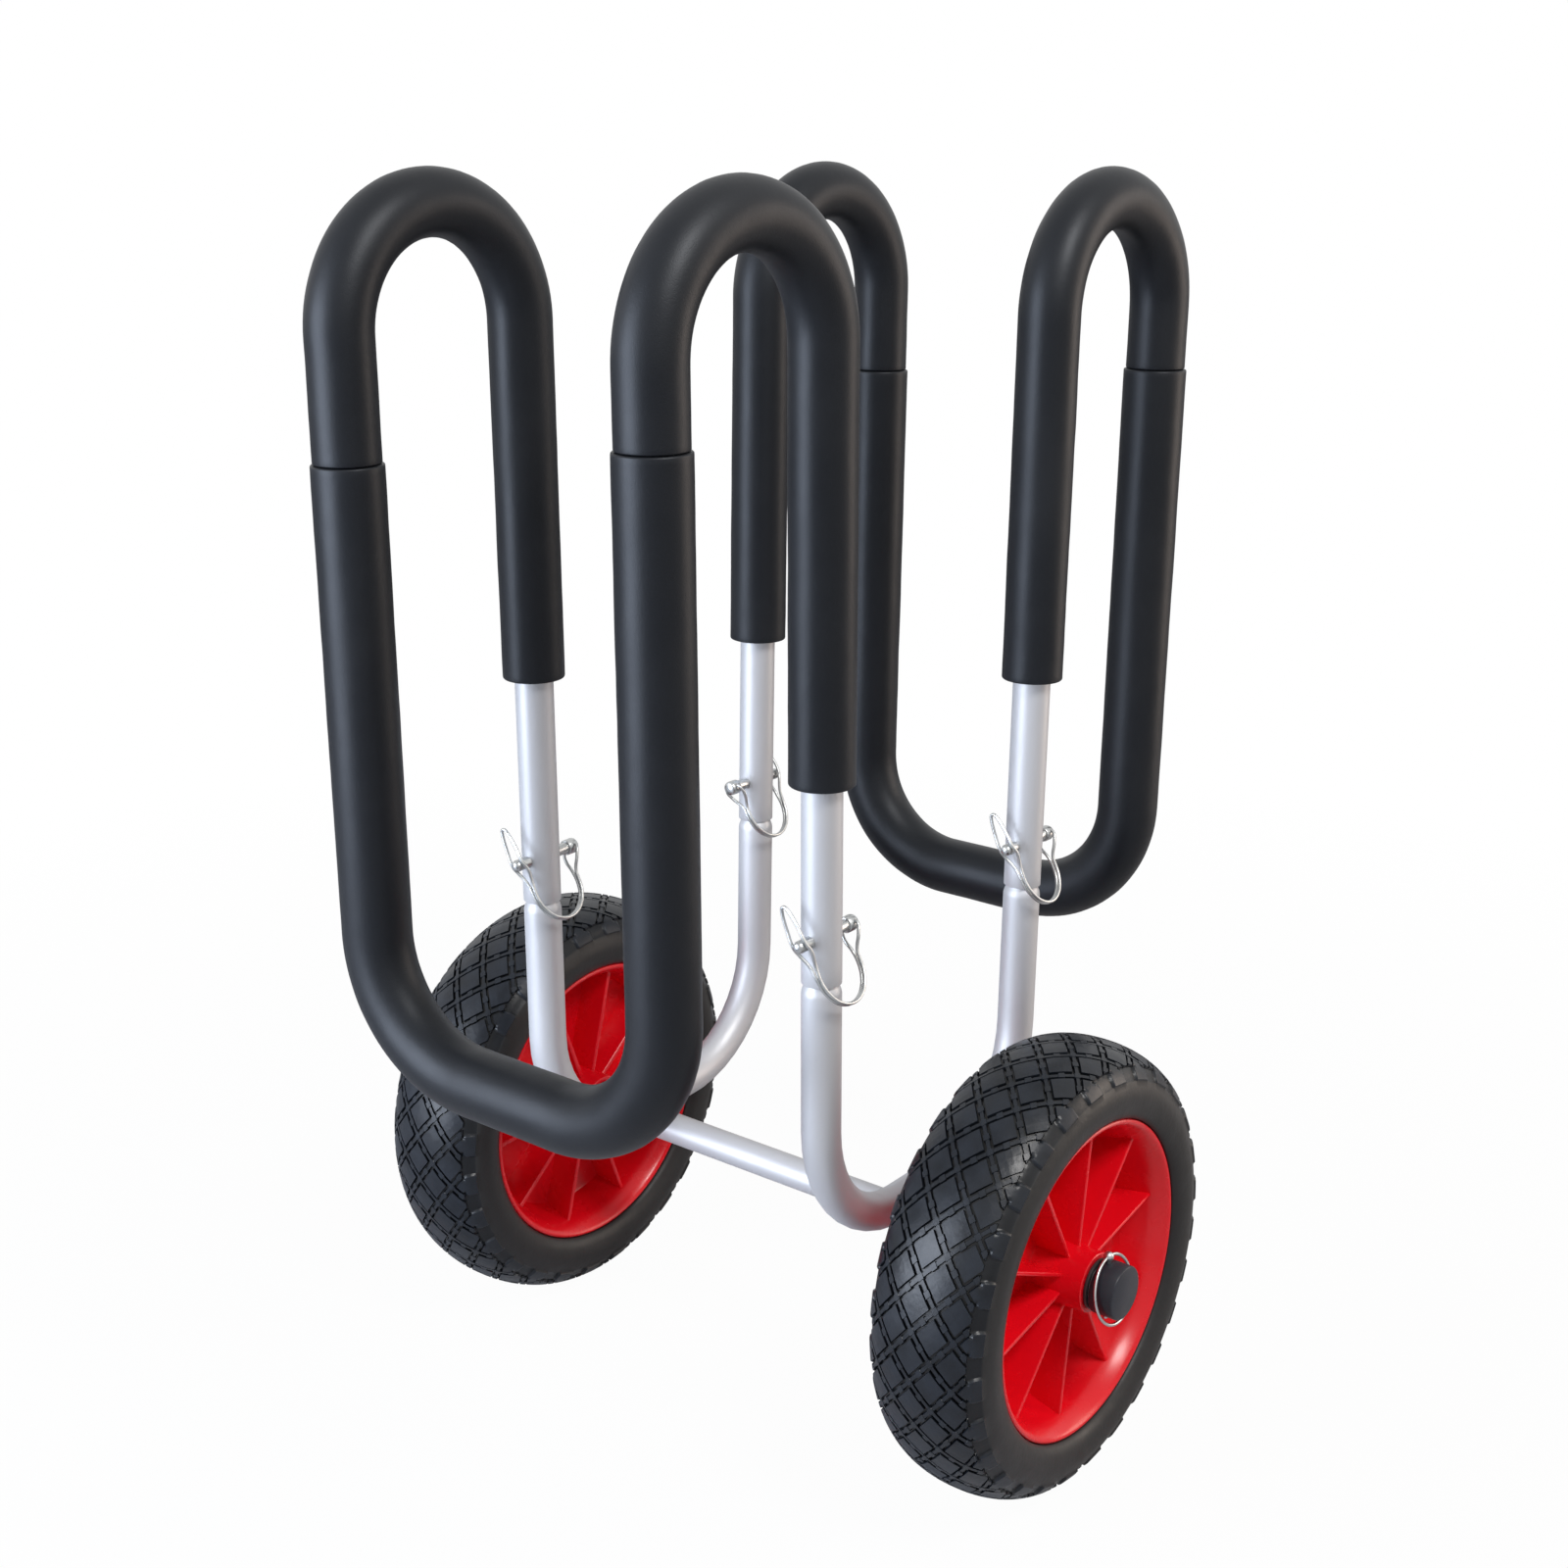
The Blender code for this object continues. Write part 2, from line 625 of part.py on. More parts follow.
def build_clip(side_name, axis):
    """A cross pin through cap and axle, and the spring ring hinged in its head."""
    upward = Matrix.Rotation(-math.pi / 2, 4, "Y")
    at_clip = Matrix.Translation((0.0, 0.0, CLIP_X))
    head = CLIP_HEAD_RADIUS
    neck = math.pi - math.asin(CLIP_RADIUS / head)
    turns = [neck * step / CLIP_HEAD_STEPS for step in range(CLIP_HEAD_STEPS + 1)]
    ball = [(head * math.sin(turn), CLIP_HINGE_RISE + head * math.cos(turn)) for turn in turns]
    profile = [
        *ball,
        (CLIP_RADIUS, CLIP_RADIUS - CLIP_TIP_DROP),
        (CLIP_RADIUS / 2, -CLIP_TIP_DROP),
        (0.0, -CLIP_TIP_DROP),
    ]
    pin = turned(
        f"{side_name}_clip_pin", profile, ZINC, axis, at_clip @ upward, PIN_FACETS, ring=False
    )
    across = Matrix.Rotation(math.pi / 2, 4, "X")
    at_hinge = Matrix.Translation((-CLIP_HINGE_RISE, 0.0, CLIP_X))
    hole = hole_cutter(f"{side_name}_ring_hole", RING_WIRE, head, axis, at_hinge @ across)
    boolean(pin, hole, "DIFFERENCE")

    radius = RING_RADIUS
    seat = Vector((0.0, head - WIRE_SEAT, 0.0))
    path = [seat]
    for step in range(RING_STEPS + 1):
        angle = RING_START + 2 * (math.pi - RING_START) * step / RING_STEPS
        path.append(Vector((radius - radius * math.cos(angle), radius * math.sin(angle), 0.0)))
    path.append(-seat)
    ring = tube(f"{side_name}_clip_ring", path, RING_WIRE, ZINC, axis, sides=WIRE_SIDES)
    ring.matrix_local = at_hinge @ Matrix.Rotation(-RING_LEAN, 4, "Y")


def build_side(side_name, side):
    """Everything turned about the axle on one side. Z points outward and -X points up."""
    facing = Matrix.Rotation(0.0 if side > 0 else math.pi, 4, "Z")
    outward = facing @ Matrix.Rotation(math.pi / 2, 4, "Y")
    axis = new_frame(f"{side_name}_side", None, Matrix.Translation((0.0, 0.0, AXLE_Z)) @ outward)
    upward = Matrix.Translation((0.0, 0.0, CLIP_X)) @ Matrix.Rotation(math.pi / 2, 4, "Y")
    hole = hole_cutter(f"{side_name}_clip_hole", CLIP_RADIUS, CAP_RADIUS, axis, upward)
    build_wheel(side_name, axis)
    build_axle_end(side_name, axis, hole)
    build_clip(side_name, axis)
    return hole


def build_end(end_name, end, pin_holes):
    """One hanger: two arches, the cradle between them, and the lock pins in its posts."""
    hanger = hanger_frame(end_name, end)
    facing = -end
    seams = {}
    for corner, (sleeve_start, seam, head_end) in CORNERS.items():
        if not corner.startswith(end_name):
            continue
        side = -1 if corner.endswith("left") else 1
        head = 1 if head_end == "back" else -1
        local_x = side * facing * FRAME_X
        frame = pin_frame(f"{corner}_pin", hanger, local_x, facing, head * facing)
        hole = hole_cutter(f"{corner}_pin_hole", PIN_RADIUS, TUBE_RADIUS, frame)
        pin_holes[side].append(hole)
        build_lock_pin(corner, frame)
        build_bow(corner, frame)
        build_arch(corner, hanger, local_x, sleeve_start, seam, hole)
        seams[local_x] = seam
    build_cradle(end_name, hanger, [seams[x] for x in sorted(seams)])


clear_scene()
MODEL = new_collection("Kayak cart")
CUTTERS = new_collection("Cutters")
ALUMINIUM = new_material("satin aluminium", (0.78, 0.79, 0.81), 0.34, 1.0)
FOAM = new_material("black foam", (0.012, 0.013, 0.015), 0.6)
RUBBER = new_material("black tyre", (0.010, 0.012, 0.015), 0.5)
RED = new_material("red plastic", (0.62, 0.006, 0.012), 0.3)
BLACK_PLASTIC = new_material("black plastic", (0.02, 0.021, 0.025), 0.4)
NYLON = new_material("nylon", (0.03, 0.03, 0.032), 0.5)
ZINC = new_material("zinc-plated steel", (0.66, 0.67, 0.68), 0.3, 1.0)

PIN_HOLES = {-1: [], 1: []}
build_end("front", -1, PIN_HOLES)
build_end("back", 1, PIN_HOLES)
build_base_frame("left", -1, PIN_HOLES[-1])
build_base_frame("right", 1, PIN_HOLES[1])
CLIP_HOLES = [build_side("left", -1), build_side("right", 1)]
build_axle(CLIP_HOLES)
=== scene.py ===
"""A kayak cart: two wheels on an axle, two bent frames, and two padded hangers pinned on."""
import math
from bisect import bisect_right

import bmesh
import bpy
from mathutils import Matrix, Vector, noise


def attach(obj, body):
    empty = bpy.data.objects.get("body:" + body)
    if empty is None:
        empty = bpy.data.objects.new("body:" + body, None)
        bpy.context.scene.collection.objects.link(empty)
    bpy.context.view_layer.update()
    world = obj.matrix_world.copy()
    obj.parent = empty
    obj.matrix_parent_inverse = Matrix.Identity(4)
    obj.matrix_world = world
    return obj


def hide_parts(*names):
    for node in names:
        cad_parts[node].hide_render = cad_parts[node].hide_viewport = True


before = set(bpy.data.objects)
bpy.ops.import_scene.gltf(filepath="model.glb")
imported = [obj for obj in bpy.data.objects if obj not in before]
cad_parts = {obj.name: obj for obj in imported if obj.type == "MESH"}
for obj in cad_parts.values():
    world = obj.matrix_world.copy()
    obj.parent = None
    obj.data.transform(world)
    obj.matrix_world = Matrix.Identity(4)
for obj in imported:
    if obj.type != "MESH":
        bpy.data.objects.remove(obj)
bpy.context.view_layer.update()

# Base frames
# Each is one length of round aluminium tube bent into a U. The tips of its legs are drawn
# down to slide up into the hangers, and its middle is welded onto the axle.
GAP = 0.0003
MERGE = 0.000005
TUBE_RADIUS = 0.0127
TUBE_WALL = 0.0015
TUBE_SIDES = 40
TUBE_SPACING = 0.012
TUBE_EDGE = 0.0003
LEAST_BEND_STEPS = 6
SHARP_ANGLE = math.radians(32)
SPIGOT_RADIUS = 0.0104
SPIGOT_LENGTH = 0.062
SPIGOT_SPACING = 0.03
SHOULDER = 0.007
FRAME_X = 0.1185
POST_Y = 0.1155
JOINT_Z = 0.3625
LEAN = math.radians(0.8)
BASE_BEND = 0.086
BASE_Z = 0.1765
SIDES = {"left": -1, "right": 1}


def begin(name, primitive, **settings):
    """Adds a primitive with nothing else selected, and opens it for editing."""
    bpy.ops.object.select_all(action="DESELECT")
    primitive(**settings)
    bpy.ops.object.transform_apply(location=True, rotation=True, scale=True)
    piece = bpy.context.object
    piece.name = name
    bpy.ops.object.mode_set(mode="EDIT")
    return piece


def close_up(piece):
    """Merges what meets, turns the faces outwards and leaves edit mode."""
    bpy.ops.mesh.select_all(action="SELECT")
    bpy.ops.mesh.remove_doubles(threshold=MERGE)
    bpy.ops.mesh.normals_make_consistent(inside=False)
    bpy.ops.object.mode_set(mode="OBJECT")
    return piece


def finish_with(piece, kind, **settings):
    """Adds one modifier to a piece and applies it."""
    bpy.context.view_layer.objects.active = piece
    added = piece.modifiers.new(kind, kind)
    for setting, value in settings.items():
        setattr(added, setting, value)
    bpy.ops.object.modifier_apply(modifier=added.name)


def ease_edges(piece, width, segments=2):
    """Rounds every sharp edge of a piece over."""
    finish_with(
        piece, "BEVEL", width=width, segments=segments, limit_method="ANGLE",
        angle_limit=SHARP_ANGLE, use_clamp_overlap=True,
    )


def smooth(piece, degrees=35):
    """Shades a piece smooth, apart from edges that turn by more than an angle."""
    bpy.ops.object.select_all(action="DESELECT")
    piece.select_set(True)
    bpy.context.view_layer.objects.active = piece
    bpy.ops.object.shade_smooth_by_angle(angle=math.radians(degrees))


def fit(piece, node, body, finish):
    """Puts a finished piece in the place of its solid, on the body that carries it."""
    piece.data.materials.clear()
    piece.data.materials.append(finish.material)
    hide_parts(node)
    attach(piece, body)


class Tube:
    """A tube drawn out of a circle, which knows where its open end is and where it points."""

    def __init__(self, name, start, towards, radius, sides=TUBE_SIDES):
        self.end = Vector(start)
        self.along = (Vector(towards) - self.end).normalized()
        self.radius = radius
        self.piece = begin(
            name, bpy.ops.mesh.primitive_circle_add, vertices=sides, radius=radius,
            location=self.end, rotation=self.along.to_track_quat("Z", "Y").to_euler(),
        )

    def pull(self, length, radius=None):
        """Draws the end straight on, to a new radius where one is given."""
        step = self.along * length
        bpy.ops.mesh.extrude_region_move(TRANSFORM_OT_translate={"value": step})
        self.end = self.end + step
        if radius:
            share = radius / self.radius
            bpy.ops.transform.resize(value=(share, share, share), center_override=self.end)
            self.radius = radius

    def straight(self, length, spacing=TUBE_SPACING):
        """Draws the end straight on in even steps."""
        count = max(round(length / spacing), 1)
        for _ in range(count if length > GAP else 0):
            self.pull(length / count)

    def bend(self, towards, radius, spacing=TUBE_SPACING):
        """Turns the end round a bend, the way a bending machine does."""
        onward = towards.normalized()
        turn = self.along.angle(onward)
        inward = (onward - self.along * self.along.dot(onward)).normalized()
        centre, axis = self.end + inward * radius, self.along.cross(inward)
        steps = max(round(turn * radius / spacing), LEAST_BEND_STEPS)
        bpy.ops.mesh.spin(steps=steps, angle=-turn, center=centre, axis=axis)
        self.end = centre + Matrix.Rotation(turn, 3, axis) @ (self.end - centre)
        self.along = onward

    def follow(self, corners, radius, spacing=TUBE_SPACING):
        """Runs to each corner in turn, round it and on to the last point."""
        for corner, after in zip(corners, corners[1:]):
            onward = after - corner
            reach = radius * math.tan(self.along.angle(onward) / 2)
            self.straight((corner - self.end).length - reach, spacing)
            self.bend(onward, radius, spacing)
        self.straight((corners[-1] - self.end).length, spacing)

    def swage(self, radius, length, steps=6):
        """Draws the tube down, or opens it out, over a full, rounded shoulder."""
        first = self.radius
        for step in range(1, steps + 1):
            turn = math.pi / 2 * step / steps
            share = math.sin(turn) if radius > first else 1 - math.cos(turn)
            self.pull(length / steps, first + (radius - first) * share)

    def walled(self, wall):
        """Closes the work and gives the tube its wall, with eased ends."""
        piece = close_up(self.piece)
        finish_with(piece, "SOLIDIFY", thickness=wall, offset=-1.0, use_even_offset=True)
        ease_edges(piece, TUBE_EDGE)
        smooth(piece)
        return piece


class Value:
    """A number that varies over a surface. Python's operators on it add Math nodes."""

    def __init__(self, finish, socket):
        self.finish, self.socket = finish, socket

    def with_node(self, operation, first, second):
        """What one more Math node makes of two numbers."""
        node = self.finish.add("ShaderNodeMath", {"operation": operation}, {0: first, 1: second})
        return Value(self.finish, node.outputs[0])

    def __add__(self, other):
        return self.with_node("ADD", self, other)

    def __mul__(self, other):
        return self.with_node("MULTIPLY", self, other)


class Finish:
    """A surface finish: a Principled shader, and the nodes that vary it."""

    def __init__(self, name, colour, roughness, metallic=0.0, **sockets):
        self.material = bpy.data.materials.new(name)
        self.material.use_nodes = True
        self.material.diffuse_color = (*colour, 1.0)
        self.tree = self.material.node_tree
        self.shader = self.tree.nodes["Principled BSDF"]
        self.colour = (*colour, 1.0)
        self.vary("Base Color", self.colour)
        self.vary("Roughness", roughness)
        self.vary("Metallic", metallic)
        for socket, value in sockets.items():
            self.vary(socket.replace("_", " "), value)
        self.place = self.add("ShaderNodeTexCoord").outputs["Object"]

    def connect(self, node, values):
        """Links each value that varies to its socket, and sets each one that doesn't."""
        for key, value in values.items():
            value = value.socket if isinstance(value, Value) else value
            if isinstance(value, bpy.types.NodeSocket):
                self.tree.links.new(value, node.inputs[key])
            else:
                node.inputs[key].default_value = value

    def add(self, kind, settings=None, values=None):
        """Adds any node: its settings first, then what goes into its sockets."""
        node = self.tree.nodes.new(kind)
        for setting, value in (settings or {}).items():
            setattr(node, setting, value)
        self.connect(node, values or {})
        return node

    def vary(self, socket, value):
        """Feeds one socket of the shader."""
        self.connect(self.shader, {socket: value})

    def grain(self, scale, detail=2.0, stretch=(1.0, 1.0, 1.0)):
        """Noise from 0 to 1 with this many grains to the metre, drawn out where stretched."""
        at = self.add("ShaderNodeMapping", {}, {"Vector": self.place, "Scale": stretch})
        values = {"Vector": at.outputs["Vector"], "Scale": scale, "Detail": detail}
        return Value(self, self.add("ShaderNodeTexNoise", {}, values).outputs[0])

    def cells(self, scale):
        """Distance to the middles of scattered cells, from 0 up to about 1."""
        node = self.add("ShaderNodeTexVoronoi", {}, {"Vector": self.place, "Scale": scale})
        return Value(self, node.outputs["Distance"])

    def between(self, value, low, high):
        """0 below one level, 1 above the other, and even between them."""
        values = {"Value": value, "From Min": low, "From Max": high}
        node = self.add("ShaderNodeMapRange", {"clamp": True}, values)
        return Value(self, node.outputs[0])

    def painted(self, name):
        """The value that a mesh's attribute holds at each point."""
        node = self.add("ShaderNodeAttribute", {"attribute_name": name})
        return Value(self, node.outputs["Fac"])

    def mix(self, share, first, second):
        """A colour between two others."""
        values = {0: share, 6: first, 7: second}
        return self.add("ShaderNodeMix", {"data_type": "RGBA"}, values).outputs[2]

    def bump(self, *layers):
        """Raises the surface by each layer of (height from 0 to 1, distance in metres)."""
        normal = None
        for height, distance in layers:
            values = {"Height": height, "Distance": distance, "Strength": 1.0}
            if normal:
                values["Normal"] = normal
            normal = self.add("ShaderNodeBump", {}, values).outputs["Normal"]
        self.vary("Normal", normal)


ALUMINIUM = Finish("satin aluminium", (0.51, 0.515, 0.535), 0.4, 0.45)
satin = ALUMINIUM.grain(26.0, 3.0)
scuffs = ALUMINIUM.between(ALUMINIUM.grain(120.0, 5.0, (1.0, 1.0, 0.3)), 0.6, 0.8)
ALUMINIUM.vary("Roughness", satin * 0.06 + scuffs * 0.06 + 0.47)
scuffed = ALUMINIUM.mix(scuffs * 0.25, ALUMINIUM.colour, (0.43, 0.435, 0.455, 1))
ALUMINIUM.vary("Base Color", scuffed)
ALUMINIUM.bump((ALUMINIUM.grain(2600.0), 0.000004))

for side, sign in SIDES.items():
    x = sign * FRAME_X
    rise = JOINT_Z - SHOULDER - GAP
    top_y = POST_Y + (rise - JOINT_Z) * math.tan(LEAN)
    foot_y = POST_Y + (BASE_Z - JOINT_Z) * math.tan(LEAN)
    leg_top, leg_foot = Vector((x, -top_y, rise)), Vector((x, -foot_y, BASE_Z))
    far_foot, far_top = Vector((x, foot_y, BASE_Z)), Vector((x, top_y, rise))
    up = (leg_top - leg_foot).normalized()
    tip = leg_top + up * (SHOULDER + SPIGOT_LENGTH)
    tube = Tube(f"{side}_bent_frame", tip, leg_foot, SPIGOT_RADIUS)
    tube.straight(SPIGOT_LENGTH, SPIGOT_SPACING)
    tube.swage(TUBE_RADIUS, SHOULDER)
    tube.follow([leg_foot, far_foot, far_top], BASE_BEND)
    tube.swage(SPIGOT_RADIUS, SHOULDER)
    tube.straight(SPIGOT_LENGTH, SPIGOT_SPACING)
    fit(tube.walled(TUBE_WALL), f"{side}_base_frame", "frame", ALUMINIUM)

# Weld beads
# A bead of weld runs round the spot where each frame stands on the axle. Laid by hand, it
# rides over both tubes in overlapping ripples.
AXLE_RADIUS = 0.0111
AXLE_Z = 0.1524
BEAD_LOOP = 0.0085
BEAD_RADIUS = 0.0025
BEAD_SADDLE = 0.0018
BEAD_RIPPLES = 26
BEAD_SWELL = 0.14

for side, sign in SIDES.items():
    bead = begin(
        f"{side}_weld_bead", bpy.ops.mesh.primitive_torus_add, major_segments=104,
        minor_segments=12, major_radius=BEAD_LOOP, minor_radius=BEAD_RADIUS,
    )
    close_up(bead)
    for vertex in bead.data.vertices:
        angle = math.atan2(vertex.co.y, vertex.co.x)
        core = Vector((math.cos(angle), math.sin(angle), 0.0)) * BEAD_LOOP
        swell = 1 + BEAD_SWELL * abs(math.sin(BEAD_RIPPLES * angle / 2))
        vertex.co = core + (vertex.co - core) * swell
        vertex.co.z += BEAD_SADDLE * math.cos(2 * angle)
        vertex.co += Vector((sign * FRAME_X, 0.0, AXLE_Z + AXLE_RADIUS + GAP / 2))
    smooth(bead, degrees=60)
    bead.data.materials.append(ALUMINIUM.material)
    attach(bead, "frame")

# Hanger tubes
# Each hanger is a post that rises from its joint, turns over at the top and comes down again
# outside, where it runs into the cradle tube under the foam. Only the feet show bare metal.
ARCH_REACH = 0.146
ARCH_RISE = 0.459
CORNERS = ("front_left", "front_right", "back_left", "back_right")
SEAMS = dict(zip(CORNERS, (0.3141, 0.3435, 0.3265, 0.3435)))


def hanger_place(corner):
    """Where one hanger stands: at the joints of its posts, leaning outward with them."""
    end = -1 if corner.startswith("front") else 1
    facing = Matrix.Rotation(math.pi if end > 0 else 0.0, 4, "Z")
    return Matrix.Translation((0.0, end * POST_Y, JOINT_Z)) @ facing @ Matrix.Rotation(LEAN, 4, "X")


def post_x(corner):
    """How far the post of a corner stands to the side, seen from its own hanger."""
    end = -1 if corner.startswith("front") else 1
    return -end * FRAME_X * (-1 if corner.endswith("left") else 1)


def arch_run(corner, start, seam):
    """The start, the two corners and the end of an arch, from one height to another."""
    place, x = hanger_place(corner), post_x(corner)
    reach = -ARCH_REACH
    points = [(x, 0, start), (x, 0, ARCH_RISE), (x, reach, ARCH_RISE), (x, reach, seam)]
    return [place @ Vector(point) for point in points]


for corner in CORNERS:
    foot, *rest = arch_run(corner, GAP, SEAMS[corner] + GAP / 2)
    tube = Tube(f"{corner}_bent_arch", foot, rest[0], TUBE_RADIUS)
    tube.follow(rest, ARCH_REACH / 2)
    fit(tube.walled(TUBE_WALL), f"{corner}_arch_tube", "frame", ALUMINIUM)

for end in ("front", "back"):
    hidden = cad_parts[f"{end}_cradle_tube"]
    hidden.material_slots[0].material = ALUMINIUM.material

# Foam sleeves on the arches and the cradles
# Thick sleeves of closed-cell foam with a smooth skin, pushed on over the tubes and butted
# together at the seams. Their skin waves a little.
ARCH_FOAM_RADIUS = 0.0205
CRADLE_FOAM_RADIUS = 0.0219
CRADLE_DROP = 0.0579
CRADLE_BEND = 0.081
SLEEVE_STARTS = dict(zip(CORNERS, (0.1555, 0.1273, 0.1395, 0.1466)))
FOAM_SPACING = 0.004
FOAM_EDGE = 0.0011
FOAM_WAVE = 0.00022
LONG_WAVES = 24
SHORT_WAVES = 70

FOAM = Finish(
    "black foam", (0.0046, 0.0054, 0.0072), 0.46,
    Specular_IOR_Level=0.28, Specular_Tint=(0.90, 0.94, 1.0, 1.0),
)
skin = FOAM.grain(34.0, 3.0)
pores = FOAM.between(FOAM.cells(900.0), 0.12, 0.4)
dust = FOAM.between(FOAM.grain(11.0, 5.0), 0.5, 0.8)
FOAM.vary("Roughness", skin * 0.08 + dust * 0.06 + 0.40)
FOAM.vary("Base Color", FOAM.mix(dust * 0.35, FOAM.colour, (0.014, 0.015, 0.017, 1)))
FOAM.bump((skin, 0.0002), (FOAM.grain(260.0, 3.0), 0.00006), (pores, 0.00003))


def foam_sleeve(name, run, bend, radius, node):
    """Draws a sleeve along its run, lets its skin wave, and gives it its wall."""
    start, *rest = run
    tube = Tube(name, start, rest[0], radius)
    tube.follow(rest, bend, FOAM_SPACING)
    piece = close_up(tube.piece)
    normals = [vertex.normal.copy() for vertex in piece.data.vertices]
    for vertex, normal in zip(piece.data.vertices, normals):
        wave = noise.noise(vertex.co * LONG_WAVES) + 0.5 * noise.noise(vertex.co * SHORT_WAVES)
        vertex.co += normal * (FOAM_WAVE * wave - FOAM_WAVE / 2)
    wall = radius - TUBE_RADIUS - 2 * GAP
    finish_with(piece, "SOLIDIFY", thickness=wall, offset=-1.0, use_even_offset=True)
    ease_edges(piece, FOAM_EDGE, 3)
    smooth(piece, degrees=50)
    fit(piece, node, "frame", FOAM)


for corner in CORNERS:
    run = arch_run(corner, SLEEVE_STARTS[corner], SEAMS[corner] + GAP / 2)
    name = f"{corner}_arch_sleeve"
    foam_sleeve(name, run, ARCH_REACH / 2, ARCH_FOAM_RADIUS, f"{corner}_arch_foam")

for end in ("front", "back"):
    first, second = sorted((f"{end}_left", f"{end}_right"), key=post_x)
    place = hanger_place(first)
    points = [
        (-FRAME_X, -ARCH_REACH, SEAMS[first] - GAP / 2),
        (-FRAME_X, -ARCH_REACH, -CRADLE_DROP),
        (FRAME_X, -ARCH_REACH, -CRADLE_DROP),
        (FRAME_X, -ARCH_REACH, SEAMS[second] - GAP / 2),
    ]
    run = [place @ Vector(point) for point in points]
    name = f"{end}_cradle_sleeve"
    foam_sleeve(name, run, CRADLE_BEND, CRADLE_FOAM_RADIUS, f"{end}_cradle_foam")

# Lock pins
# A plated steel pin through each post holds the hanger on its frame. It is turned from bar,
# with a rounded nose. The real head is drilled across for the wire bow; that hole is not cut.
PIN_RISE = 0.030
PIN_RADIUS = 0.004
PIN_TIP = TUBE_RADIUS + 0.0128
PIN_NOSE = ((0.0, 0.0030), (-0.00056, 0.00135), (-0.0020, 0.0))
PIN_HEAD_START = TUBE_RADIUS + 0.0108
PIN_HEAD_LENGTH = 0.009
PIN_HEAD_RADIUS = 0.00525
PIN_HEAD_FLAT = 0.0038
PIN_HEAD_END = PIN_HEAD_START + PIN_HEAD_LENGTH
PIN_HINGE = PIN_HEAD_START + PIN_HEAD_LENGTH / 2
PIN_HEAD_DOME = ((-0.0004, -0.0009), (0.0, -0.0022))
PIN_HEAD_EDGE = ((0.0, 0.0006), (-0.0006, 0.0))
PIN_STEPS = 28
HEADS_TO = dict(zip(CORNERS, ("back", "back", "front", "back")))
BOW_LEAN = math.radians(30)
BOW_WIRE = 0.0011

ZINC = Finish("zinc-plated steel", (0.48, 0.495, 0.5), 0.3, 1.0)
plate = ZINC.grain(160.0, 4.0)
ZINC.vary("Roughness", plate * 0.22 + 0.2)
ZINC.vary("Base Color", ZINC.mix(plate, (0.4, 0.415, 0.42, 1), (0.56, 0.57, 0.565, 1)))
ZINC.bump((ZINC.grain(900.0), 0.00001))


def begin_line(name, points):
    """Draws a bare line from point to point, as the start of a turned or wire piece."""
    piece = begin(name, bpy.ops.mesh.primitive_plane_add, size=GAP)
    bpy.ops.mesh.merge(type="CENTER")
    bpy.ops.transform.translate(value=points[0])
    for before, after in zip(points, points[1:]):
        step = Vector(after) - Vector(before)
        bpy.ops.mesh.extrude_region_move(TRANSFORM_OT_translate={"value": step})
    return piece


def put(piece, place):
    """Moves a piece made at the origin to its place, which its mesh then holds."""
    bpy.ops.object.select_all(action="DESELECT")
    piece.select_set(True)
    bpy.context.view_layer.objects.active = piece
    piece.matrix_world = place
    bpy.ops.object.transform_apply(location=True, rotation=True, scale=True)
    return piece


def lathe(name, outline, place, steps, edge=0.0, degrees=35):
    """Turns an outline of (radius, height) about Z. One that starts on the axis ends there."""
    closed = outline[:1] if outline[0][0] > 0 else []
    line = [(radius, 0.0, height) for radius, height in outline + closed]
    piece = begin_line(name, line)
    bpy.ops.mesh.select_all(action="SELECT")
    bpy.ops.mesh.spin(steps=steps, angle=2 * math.pi, center=(0, 0, 0), axis=(0, 0, 1))
    close_up(piece)
    if edge:
        ease_edges(piece, edge)
    smooth(piece, degrees)
    return put(piece, place)


def pin_place(corner):
    """Z runs along the lock pin to its head, and X from the pin to the bottom of its bow."""
    end = -1 if corner.startswith("front") else 1
    head = -end * (1 if HEADS_TO[corner] == "back" else -1)
    to_head = Vector((0.0, head, 0.0))
    to_bow = Vector((-end * math.sin(BOW_LEAN), 0.0, -math.cos(BOW_LEAN)))
    turn = Matrix((to_bow, to_head.cross(to_bow), to_head)).transposed().to_4x4()
    return hanger_place(corner) @ Matrix.Translation((post_x(corner), 0.0, PIN_RISE)) @ turn


def rounded(radius, height, steps):
    """The points that round one corner of an outline, each by its step from the corner."""
    return [(radius + out, height + up) for out, up in steps]


pin_outline = [
    (0.0, PIN_HEAD_END),
    (PIN_HEAD_FLAT, PIN_HEAD_END),
    *rounded(PIN_HEAD_RADIUS, PIN_HEAD_END, PIN_HEAD_DOME),
    *rounded(PIN_HEAD_RADIUS, PIN_HEAD_START, PIN_HEAD_EDGE),
    (PIN_RADIUS, PIN_HEAD_START),
    *rounded(PIN_RADIUS, -PIN_TIP, PIN_NOSE),
    (0.0, -PIN_TIP),
]
for corner in CORNERS:
    pin = lathe(f"{corner}_turned_pin", pin_outline, pin_place(corner), PIN_STEPS, degrees=50)
    fit(pin, f"{corner}_lock_pin", f"{corner}_pin", ZINC)

